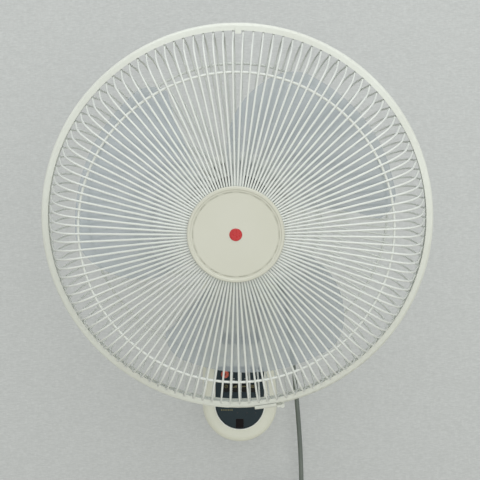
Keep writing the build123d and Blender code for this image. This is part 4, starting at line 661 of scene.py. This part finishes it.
def plug():
    """Flat two-pin plug: grip ribs on its faces and a ribbed neck round the cord."""
    x, y, top = PLUG_PLACE
    body = cuboid("plug_grip", (x, y, top - 27), GRIP_SIZE)
    bpy.ops.object.mode_set(mode="EDIT")
    bpy.ops.mesh.select_mode(type="FACE")
    bpy.ops.mesh.select_all(action="DESELECT")
    bpy.ops.object.mode_set(mode="OBJECT")
    for face in body.data.polygons:
        face.select = face.normal.z > 0.9
    bpy.ops.object.mode_set(mode="EDIT")
    bpy.ops.mesh.inset(thickness=3.2 * MM)
    bpy.ops.transform.translate(value=(0, 0, 3 * MM))
    bpy.ops.object.mode_set(mode="OBJECT")
    bevel(body, 3.6, 4, 40)
    apply_modifiers(body)
    parts = [body]
    for side in (-1, 1):
        for row in range(GRIP_RIBS):
            place = (x, y + side * 7.9, top - 21 - row * GRIP_RIB_PITCH)
            rib = cylinder("grip_rib", place, 0.55, 13, 12, (0, pi / 2, 0))
            bevel(rib, 0.4, 2)
            apply_modifiers(rib)
            parts.append(settle(rib))
    points = [Vector((x, y, top + 0.2)), Vector((x, y, top - 0.2))]
    radii = [3.3, 3.9]
    for rib in range(NECK_RIBS):
        z = top - 1.0 - rib * NECK_RIB_PITCH
        size = 4.4 + 0.35 * rib
        for down, radius in ((0.0, size - 0.6), (0.5, size), (2.0, size), (2.5, size - 0.6)):
            points.append(Vector((x, y, z - down)))
            radii.append(radius)
    points.append(Vector((x, y, top - 17.5)))
    radii.append(5.6)
    parts.append(sleeve("plug_neck", points, radii, 6))
    whole = joined(parts, "plug_grip")
    finish_piece(whole, "cord_grey", "wall_base", 35)
    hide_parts("plug_body")
    return whole


def plug_blades():
    """Two flat pins with a rounded tip and a hole."""
    x, y, top = PLUG_PLACE
    pin = cuboid("plug_pin", (0, 0, -PIN_SIZE[2] / 2), PIN_SIZE)
    bevel(pin, 0.45, 2)
    cut_out(pin, [settle(cylinder("pin_hole", (0, 0, -13.2), 1.6, 6, 24, (0, pi / 2, 0)))])
    low = (top - 37) * MM
    places = [Matrix.Translation(((x + side * PIN_OFFSET) * MM, y * MM, low)) for side in (-1, 1)]
    whole = joined(copies_of(pin, places), "plug_blades")
    finish_piece(whole, "nickel", "wall_base", 30)
    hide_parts("plug_pins")
    return whole


lead, lead_points = make_cord()
ribbed_gland = cord_gland()
plug_grip = plug()
pins = plug_blades()


# ------------------------------------------------------------------ guards
def head_way(r, u):
    """A point of the head's own axes at angle 0: radius and distance forward, in metres."""
    return Vector((r, -u, 0)) * MM


def bend_points(before, corner, after, radius):
    """Where an arc that rounds a corner starts and ends, its centre and its angle."""
    first = (Vector(before) - Vector(corner)).normalized()
    second = (Vector(after) - Vector(corner)).normalized()
    half = acos(max(-1, min(1, first.dot(second)))) / 2
    back = radius / tan(half)
    start, end = Vector(corner) + first * back, Vector(corner) + second * back
    centre = Vector(corner) + (first + second).normalized() * radius / sin(half)
    turn = first.cross(second)
    return start, end, centre, (pi - 2 * half) * (1 if turn > 0 else -1)


def draw_on(here, there):
    """Extrudes the open end of a wire from one point of the head's axes to another."""
    bpy.ops.mesh.extrude_edges_move(TRANSFORM_OT_translate={"value": head_way(*there) - head_way(*here)})


def spoke(name, corner, inner, bend, side):
    """One spoke: a small circle drawn straight, spun round both bends and drawn on to its end."""
    rim, leave = (RIM_R, side * RIM_U), (RIM_R - RIM_INSET, side * RIM_U)
    clear_selection()
    bpy.ops.mesh.primitive_circle_add(vertices=10, radius=SPOKE_WIRE_R * MM, location=head_way(*rim),
                                      rotation=(0, pi / 2, 0))
    wire = started(name)
    settle(wire)
    edit_all()
    here = Vector(rim)
    for points, radius, steps in (((rim, leave, corner), RIM_BEND, 3), ((leave, corner, inner), bend, 7)):
        start, end, centre, angle = bend_points(*points, radius)
        draw_on(here, start)
        bpy.ops.mesh.spin(steps=steps, angle=-angle, center=head_way(*centre), axis=(0, 0, 1))
        here = end
    draw_on(here, inner)
    bpy.ops.mesh.edge_face_add()
    bpy.ops.mesh.select_all(action="SELECT")
    bpy.ops.mesh.fill_holes(sides=12)
    bpy.ops.mesh.remove_doubles(threshold=0.00001)
    bpy.ops.mesh.normals_make_consistent(inside=False)
    bpy.ops.object.mode_set(mode="OBJECT")
    return wire


def wire_ring(name, radius, forward, wire_r, sides=10):
    clear_selection()
    bpy.ops.mesh.primitive_torus_add(major_radius=radius * MM, minor_radius=wire_r * MM,
                                     major_segments=180, minor_segments=sides,
                                     location=(0, -forward * MM, 0), rotation=(pi / 2, 0, 0))
    return settle(started(name))


def forward_at(corner, inner, radius):
    """How far forward a guard's spokes lie at a radius."""
    share = (radius - corner[0]) / (inner[0] - corner[0])
    return corner[1] + share * (inner[1] - corner[1])


def around_head(count, start):
    """Turns about the head's axis, evenly spaced."""
    return [Matrix.Rotation(radians(start + 360 / count * i), 4, "Y") for i in range(count)]


def mounting_plate():
    """Round steel plate in the middle of the rear guard, with a ring of arched openings."""
    clear_selection()
    bpy.ops.mesh.primitive_circle_add(vertices=SPOKES, radius=PLATE_R * MM,
                                      location=(0, PLATE_FRONT * MM, 0), rotation=(pi / 2, 0, 0))
    plate = settle(started("mounting_plate"))
    placed(plate, Matrix.Rotation(radians(SPOKE_START + 180 / SPOKES), 4, "Y"))
    edit_all()
    for radius in (PLATE_VENT[1], PLATE_VENT[0], PLATE_BORE):
        bpy.ops.mesh.extrude_edges_move()
        bpy.ops.object.mode_set(mode="OBJECT")
        for vertex in plate.data.vertices:
            if vertex.select:
                flat = Vector((vertex.co.x, 0, vertex.co.z)).normalized() * radius * MM
                vertex.co = (flat.x, PLATE_FRONT * MM, flat.z)
        bpy.ops.object.mode_set(mode="EDIT")
    bpy.ops.mesh.select_all(action="SELECT")
    bpy.ops.mesh.normals_make_consistent(inside=False)
    bpy.ops.mesh.select_mode(type="FACE")
    bpy.ops.mesh.select_all(action="DESELECT")
    bpy.ops.object.mode_set(mode="OBJECT")
    if plate.data.polygons[0].normal.y > 0:
        plate.data.flip_normals()
    for face in plate.data.polygons:
        x, _, z = face.center
        share = round((degrees(atan2(-z, x)) - SPOKE_START) * SPOKES / 360)
        between = PLATE_VENT[0] * MM < Vector((x, z)).length < PLATE_VENT[1] * MM
        face.select = between and (share + BAR_SHARES) % (VENT_SHARES + BAR_SHARES) < VENT_SHARES
    bpy.ops.object.mode_set(mode="EDIT")
    bpy.ops.mesh.delete(type="FACE")
    bpy.ops.object.mode_set(mode="OBJECT")
    sheet = plate.modifiers.new("sheet", "SOLIDIFY")
    sheet.thickness = PLATE_T * MM
    sheet.offset = -1
    bevel(plate, 0.25, 1, 50)
    return apply_modifiers(plate)


def arched_cutter(low, high, span, front, rear, steps=10):
    """Solid that cuts an arched opening, centred on the direction of +X about the head's axis."""
    clear_selection()
    bpy.ops.mesh.primitive_plane_add(size=MM, rotation=(0, 0, 0))
    cutter = settle(started("arched_cutter"))
    turn = Matrix.Rotation(radians(-span / 2), 4, "Y")
    for vertex in cutter.data.vertices:
        radius = high if vertex.co.x > 0 else low
        forward = -rear if vertex.co.y > 0 else -front
        vertex.co = turn @ head_way(radius, forward)
    edit_all()
    bpy.ops.mesh.spin(steps=steps, angle=-radians(span), center=(0, 0, 0), axis=(0, 1, 0))
    sewn(4)
    return cutter


def vented_front_cover():
    """Front cover of the motor: its face has arched vents behind the plate's openings, and a
    row of short ones outside them; pillars inside carry the end bell."""
    clear_selection()
    bpy.ops.mesh.primitive_circle_add(vertices=len(COVER_SECTION), radius=MM, rotation=(pi / 2, 0, 0))
    cover = settle(started("vented_front_cover"))
    for vertex, (radius, back) in zip(cover.data.vertices, COVER_SECTION):
        vertex.co = head_way(radius, -back)
    edit_all()
    bpy.ops.mesh.spin(steps=120, angle=2 * pi, center=(0, 0, 0), axis=(0, 1, 0))
    sewn()
    arches = copies_of(arched_cutter(*FACE_VENT, COVER_FACE - 1, COVER_FACE + 4), around_head(6, 0))
    cut_out(cover, arches)
    slots = copies_of(arched_cutter(*RIM_VENT, COVER_FACE - 1, COVER_FACE + 6, 3), around_head(24, 0))
    cut_out(cover, slots)
    parts = [cover]
    for angle in PILLAR_ANGLES:
        place = (PILLAR_AT, COVER_FACE + 2.2 + PILLAR_LENGTH / 2, 0)
        pillar = settle(cylinder("pillar", place, PILLAR_R, PILLAR_LENGTH))
        place = (PILLAR_AT, COVER_FACE + 2.6 + PILLAR_LENGTH, 0)
        cut_out(pillar, [settle(cylinder("pillar_bore", place, PILLAR_BORE_R, 2 * PILLAR_LENGTH, 20))])
        parts.append(placed(pillar, Matrix.Rotation(radians(-angle), 4, "Y")))
    whole = joined(parts, "vented_front_cover")
    placed(whole, HEAD)
    finish_piece(whole, "motor_plastic", "head", 30)
    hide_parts("motor_front_cover")
    return whole


def guard(name, node, corner, inner, bend, side, rings, extra=()):
    blank = spoke(name + "_spoke", corner, inner, bend, side)
    parts = copies_of(blank, around_head(SPOKES, SPOKE_START))
    behind = SPOKE_WIRE_R + MID_WIRE_R - WELD
    for radius in rings:
        forward = forward_at(corner, inner, radius) - behind
        parts.append(wire_ring(name + "_ring", radius, forward, MID_WIRE_R))
    parts.append(wire_ring(name + "_rim", RIM_R, side * RIM_U, RIM_WIRE_R, 14))
    whole = joined(parts + list(extra), name)
    placed(whole, HEAD)
    finish_piece(whole, "guard_wire", "head", 40)
    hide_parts(node)
    return whole


guard("front_wires", "front_guard", FRONT_CORNER, FRONT_INNER, FRONT_BEND, 1, FRONT_RINGS)
guard("rear_wires", "rear_guard", REAR_CORNER, REAR_INNER, REAR_BEND, -1, REAR_RINGS, [mounting_plate()])
vented_front_cover()


def latch_lever():
    """Latch under the ring: its lever hugs the ring's rounded edge and turns on two capped ears."""
    clear_selection()
    bpy.ops.mesh.primitive_circle_add(vertices=len(LATCH_SECTION), radius=MM, fill_type="NGON",
                                      rotation=(0, pi / 2, 0))
    lever = settle(started("latch_lever"))
    turn = Matrix.Rotation(radians(-LATCH_ANGLE - LATCH_START), 4, "Y")
    for vertex, place in zip(lever.data.vertices, LATCH_SECTION):
        vertex.co = turn @ head_way(*place)
    edit_all()
    bpy.ops.mesh.spin(steps=10, angle=radians(LATCH_END - LATCH_START), center=(0, 0, 0), axis=(0, 1, 0))
    sewn(len(LATCH_SECTION))
    bevel(lever, 0.5, 2, 50)
    apply_modifiers(lever)
    parts = [lever]
    hinge = Matrix.Rotation(radians(-LATCH_ANGLE), 4, "Y")
    for side in (-1, 1):
        middle = side * (EAR_IN + EAR_OUT) / 2
        ear = settle(cylinder("ear", (PIN_AT, middle, 0), EAR_R, EAR_OUT - EAR_IN))
        bevel(ear, 0.4, 2)
        cut_out(ear, [settle(cylinder("ear_bore", (PIN_AT, side * 2.85, 0), EAR_BORE_R, 5.7, 20))])
        arm = cuboid("ear_arm", (PIN_AT - 0.9, middle, -ARM_REACH),
                     (2.6, EAR_OUT - EAR_IN - 0.3, 2 * ARM_REACH - 1.6))
        bevel(arm, 0.4, 2)
        parts += [placed(ear, hinge), placed(apply_modifiers(arm), hinge)]
    whole = joined(parts, "latch_lever")
    placed(whole, HEAD)
    finish_piece(whole, "ring_plastic", "guard_clip", 35)
    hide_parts("guard_clip")
    return whole


latch_lever()


# ------------------------------------------------------------------ screws
def cross_screw(name, head_r, head_t, shank_r, shank_length, cross, rounded):
    """A screw along +Z with its head's underside at the origin and a cross cut in its head."""
    head = settle(cylinder(name, (0, 0, head_t / 2), head_r, head_t, 32, (0, 0, 0)))
    bevel(head, rounded, 3)
    drivers = []
    for turn in (0, pi / 2):
        size = (cross, cross * 0.22, head_t * 1.1)
        drivers.append(cuboid("driver", (0, 0, head_t), size, (0, 0, turn)))
        subtract(head, drivers[-1])
    apply_modifiers(head)
    for driver in drivers:
        bpy.data.objects.remove(driver)
    points, radii = [Vector((0, 0, 0.2))], [shank_r]
    for thread in range(int(shank_length / THREAD_PITCH)):
        z = -THREAD_PITCH * thread
        points += [Vector((0, 0, z - 0.1)), Vector((0, 0, z - 0.5))]
        radii += [shank_r * 0.8, shank_r]
    points.append(Vector((0, 0, -shank_length)))
    radii.append(shank_r * 0.4)
    shank = sleeve(name + "_shank", points, radii, 3)
    return joined([head, shank], name)


def facing(place, way):
    """Place of a screw whose head looks along a direction."""
    return Matrix.Translation(Vector(place) * MM) @ way.to_track_quat("Z", "Y").to_matrix().to_4x4()


neck_screw = cross_screw("neck_cross_screws", 2.8, 0.8, 1.55, 7.0, 3.2, 0.3)
neck_places = [facing(Vector(place) - NECK_OUT * 1.2, NECK_OUT) for place in NECK_SCREWS]
neck_set = joined(copies_of(neck_screw, neck_places), "neck_cross_screws")
finish_piece(neck_set, "dark_steel", "neck", 30)
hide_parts("neck_screws")

case_screw = cross_screw("case_cross_screws", 3.2, 1.4, 1.45, 9.5, 3.6, 0.6)
case_places = [facing((x, -3.6, z), Vector((0, 1, 0))) for x, z in CASE_SCREWS]
case_set = joined(copies_of(case_screw, case_places), "case_cross_screws")
finish_piece(case_set, "zinc", "wall_base", 30)
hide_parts("base_screws")


# ------------------------------------------------------------------ bead round the control panel
def corner_arc(x, z, radius, first, last, steps):
    """Points of an arc seen from the front; angles run from the right, upwards."""
    return [(x + radius * cos(radians(first + (last - first) * i / steps)),
             z + radius * sin(radians(first + (last - first) * i / steps))) for i in range(steps + 1)]


def panel_bead():
    """Round bead along the edge of the panel's recess, its foot half round like the base's."""
    line = corner_arc(0, FOOT_Z, BEAD_HALF_W, 180, 360, 40)
    line += corner_arc(BEAD_HALF_W - BEAD_ROUND, BEAD_TOP - BEAD_ROUND, BEAD_ROUND, 0, 90, 6)
    line += corner_arc(BEAD_ROUND - BEAD_HALF_W, BEAD_TOP - BEAD_ROUND, BEAD_ROUND, 90, 180, 6)
    points = [(x * MM, BEAD_Y * MM, z * MM) for x, z in line]
    bead, spline = tube("panel_bead", "POLY", points, BEAD_R * MM, 3)
    spline.use_cyclic_u = True
    pick(bead)
    bpy.ops.object.convert(target="MESH")
    # its pale finish is partly a painted highlight
    return finish_piece(started("panel_bead"), "bead_plastic_and_highlight", "wall_base", 60)


panel_bead()


# ------------------------------------------------------------------ prints of the control panel
def patch(x, z, width, height, y=PANEL_Y, corner=0.0, turn=0.0):
    """A thin printed patch on a face that looks forward."""
    clear_selection()
    bpy.ops.mesh.primitive_plane_add(size=MM)
    mark = started("patch")
    mark.scale = (width, height, 1)
    settle(mark)
    if corner:
        edit_all()
        bpy.ops.mesh.bevel(offset=corner * MM, segments=4, affect="VERTICES")
        bpy.ops.object.mode_set(mode="OBJECT")
    return pressed(mark, x, z, y, turn)


def round_mark(x, z, radius, y=PANEL_Y, sides=24, turn=0.0, hole=0.0):
    """A printed disc, triangle or, with a hole, a ring."""
    clear_selection()
    bpy.ops.mesh.primitive_circle_add(vertices=sides, radius=radius * MM, fill_type="NGON")
    mark = started("round_mark")
    if hole:
        edit_all()
        bpy.ops.mesh.inset(thickness=(radius - hole) * MM)
        bpy.ops.mesh.delete(type="FACE")
        bpy.ops.object.mode_set(mode="OBJECT")
    return pressed(mark, x, z, y, turn)


def figure(text, x, z, height, y=PANEL_Y):
    """A printed number, centred on its place."""
    clear_selection()
    bpy.ops.object.text_add()
    mark = bpy.context.object
    mark.data.body = text
    mark.data.size = height * MM * 1.4
    mark.data.align_x = "CENTER"
    mark.data.align_y = "CENTER"
    mark.data.resolution_u = 3
    bpy.ops.object.convert(target="MESH")
    return pressed(started("figure"), x, z, y, 0.0)


def pressed(mark, x, z, y, turn):
    """Gives a flat mark its thickness and puts it on its face."""
    sheet = mark.modifiers.new("sheet", "SOLIDIFY")
    sheet.thickness = PRINT_T * MM
    sheet.offset = 1
    apply_modifiers(mark)
    upright = Matrix.Rotation(pi / 2, 4, "X") @ Matrix.Rotation(turn, 4, "Z")
    return placed(mark, Matrix.Translation(Vector((x, y, z)) * MM) @ upright)


def print_set(name, finish_name, marks, body):
    whole = joined(marks, name)
    return finish_piece(whole, finish_name, body)


def key_patch(key, across, up, width, height, corner=0.0):
    """A patch on a key, placed from the middle of its icon."""
    return patch(KEY_XS[key] + across, ICON_Z + up, width, height, KEY_FRONT_Y, corner)


icons = [
    [round_mark(KEY_XS[0], ICON_Z, 2.2, KEY_FRONT_Y, hole=1.6), key_patch(0, 0, 0.6, 0.5, 1.5),
     key_patch(0, 0.5, 0, 1.3, 0.5)],
    [key_patch(1, -1.6, -1.0, 1.0, 1.6, 0.2), key_patch(1, 0, -0.5, 1.0, 2.6, 0.2),
     key_patch(1, 1.6, 0, 1.0, 3.6, 0.2)],
    [key_patch(2, 0, 0, 2.0, 0.8), round_mark(KEY_XS[2] - 1.5, ICON_Z, 1.4, KEY_FRONT_Y, 3, pi),
     round_mark(KEY_XS[2] + 1.5, ICON_Z, 1.4, KEY_FRONT_Y, 3, 0.0)],
    [key_patch(3, 0, up, 4.2, 0.7, 0.2) for up in (1.4, 0, -1.4)],
]
for number, marks in enumerate(icons, 1):
    print_set(f"key_{number}_mark", "print_olive", marks, f"key_{number}")
stop_patch = patch(OFF_POS[0], OFF_POS[1], 3.2, 3.2, KEY_FRONT_Y, 0.4)
print_set("stop_mark", "stop_mark", [stop_patch], "off_button")

labels = [patch(KEY_XS[0], -73.4, 7.4, 2.8, corner=0.5)]
labels += [figure(text, x, -73.4, 2.8) for text, x in zip("123", KEY_XS[1:])]
labels += [patch(-24.0 + 2.3 * i, -86.9, 1.5, 1.3 if i % 2 else 1.7, corner=0.2) for i in range(7)]
print_set("panel_labels", "print_olive", labels, "wall_base")
lamp_marks = [patch(x, -45.6, 3.4, 0.6, corner=0.15) for x in (-8.0, 0.0, 8.0)]
print_set("lamp_marks", "print_white", lamp_marks, "wall_base")
# three small dark triangles on the panel just below the ring
dark_triangles = [round_mark(x, -90.6, 1.5, sides=3, turn=-pi / 2) for x in (-3.2, 9.6, 20.8)]
print_set("panel_dark_triangles", "dark_triangle_finish", dark_triangles, "wall_base")


# ------------------------------------------------------------------ stage and light
def seen_from_front(finish, lit):
    """Shows a finish on its front only; from behind it lets everything through."""
    geometry = finish.tree.nodes.new("ShaderNodeNewGeometry")
    clear = finish.tree.nodes.new("ShaderNodeBsdfTransparent")
    mix = finish.tree.nodes.new("ShaderNodeMixShader")
    finish.link(geometry.outputs["Backfacing"], mix.inputs["Fac"])
    finish.link(lit, mix.inputs[1])
    finish.link(clear.outputs["BSDF"], mix.inputs[2])
    finish.link(mix.outputs["Shader"], finish.tree.nodes["Material Output"].inputs["Surface"])


def painted_backdrop_light(finish, colour):
    """For the camera alone, half the wall's light is a painted glow of its own colour, which also lifts the
    shadows cast on the wall; it is stronger higher up, a painted falloff of the ceiling lamp's light.
    """
    height = finish.tree.nodes.new("ShaderNodeSeparateXYZ")
    glow = finish.tree.nodes.new("ShaderNodeEmission")
    finish.link(finish.place, height.inputs["Vector"])
    finish.link(colour, glow.inputs["Color"])
    # painted shade: the glow weakens towards the bottom of the wall
    finish.link(finish.spread(height.outputs["Z"], 0.84, 1.0, -0.35, 0.45), glow.inputs["Strength"])
    seen = finish.tree.nodes.new("ShaderNodeLightPath")
    half = finish.tree.nodes.new("ShaderNodeMath")
    half.operation = "MULTIPLY"
    half.inputs[1].default_value = 0.5
    finish.link(seen.outputs["Is Camera Ray"], half.inputs[0])
    lit = finish.tree.nodes.new("ShaderNodeMixShader")
    finish.link(half.outputs["Value"], lit.inputs["Fac"])
    finish.link(finish.surface.outputs["BSDF"], lit.inputs[1])
    finish.link(glow.outputs["Emission"], lit.inputs[2])
    return lit.outputs["Shader"]


def wall_finish(name, colour):
    """Pale woven wallpaper: threads both ways, and no back."""
    finish = Finish(name, colour, 0.9, Specular_IOR_Level=0.1)
    across = finish.noise(420.0, 2.0, (0.5, 1.0, 2.0))
    upright = finish.noise(420.0, 2.0, (2.0, 1.0, 0.5))
    weave = finish.blend(finish.spread(across, 0.0, 1.0), colour, [c - 15 for c in colour])
    other = finish.blend(finish.spread(upright, 0.0, 0.5), weave, [c - 16 for c in colour])
    finish.link(other, finish.surface.inputs["Base Color"])
    finish.bump(across, 0.12, 0.0005)
    seen_from_front(finish, painted_backdrop_light(finish, other))
    return finish.material


clear_selection()
bpy.ops.mesh.primitive_plane_add(size=1, location=(0, 0.0012, 0.1), rotation=(pi / 2, 0, 0))
wall = started("room_wall")
wall.scale = (3.2, 2.6, 1)
settle(wall)
wall.data.materials.append(wall_finish("room_wall", (201, 204, 202)))
clear_selection()
bpy.ops.mesh.primitive_plane_add(size=14, location=(0, 0, -1.15))
floor = settle(started("room_floor"))
floor.data.materials.append(Finish("room_floor", (212, 210, 200), 0.9, Specular_IOR_Level=0.1).material)
wall.visible_diffuse = False
wall.visible_shadow = False

world = bpy.data.worlds.new("room")
bpy.context.scene.world = world
world.use_nodes = True
background = world.node_tree.nodes["Background"]
background.inputs["Color"].default_value = (0.98, 0.985, 1.0, 1)
background.inputs["Strength"].default_value = 0.62


def area_lamp(name, place, target, size, power, colour=(1, 1, 1)):
    data = bpy.data.lights.new(name, "AREA")
    data.energy = power
    data.size = size
    data.color = colour
    lamp = bpy.data.objects.new(name, data)
    lamp.location = place
    direction = Vector(target) - Vector(place)
    lamp.rotation_euler = direction.to_track_quat("-Z", "Y").to_euler()
    bpy.context.scene.collection.objects.link(lamp)


area_lamp("ceiling_lamp", (0.1, -1.8, 2.3), (0, -0.2, 0.1), 2.4, 33, (0.98, 1.0, 1.0))
area_lamp("room_fill", (0.6, -2.9, 0.3), (0, -0.2, 0.0), 2.6, 31, (1.0, 1.0, 0.99))
area_lamp("back_fill", (0.6, 2.2, 1.2), (0, -0.2, 0.1), 1.8, 14)

bpy.context.scene.view_settings.view_transform = "Standard"
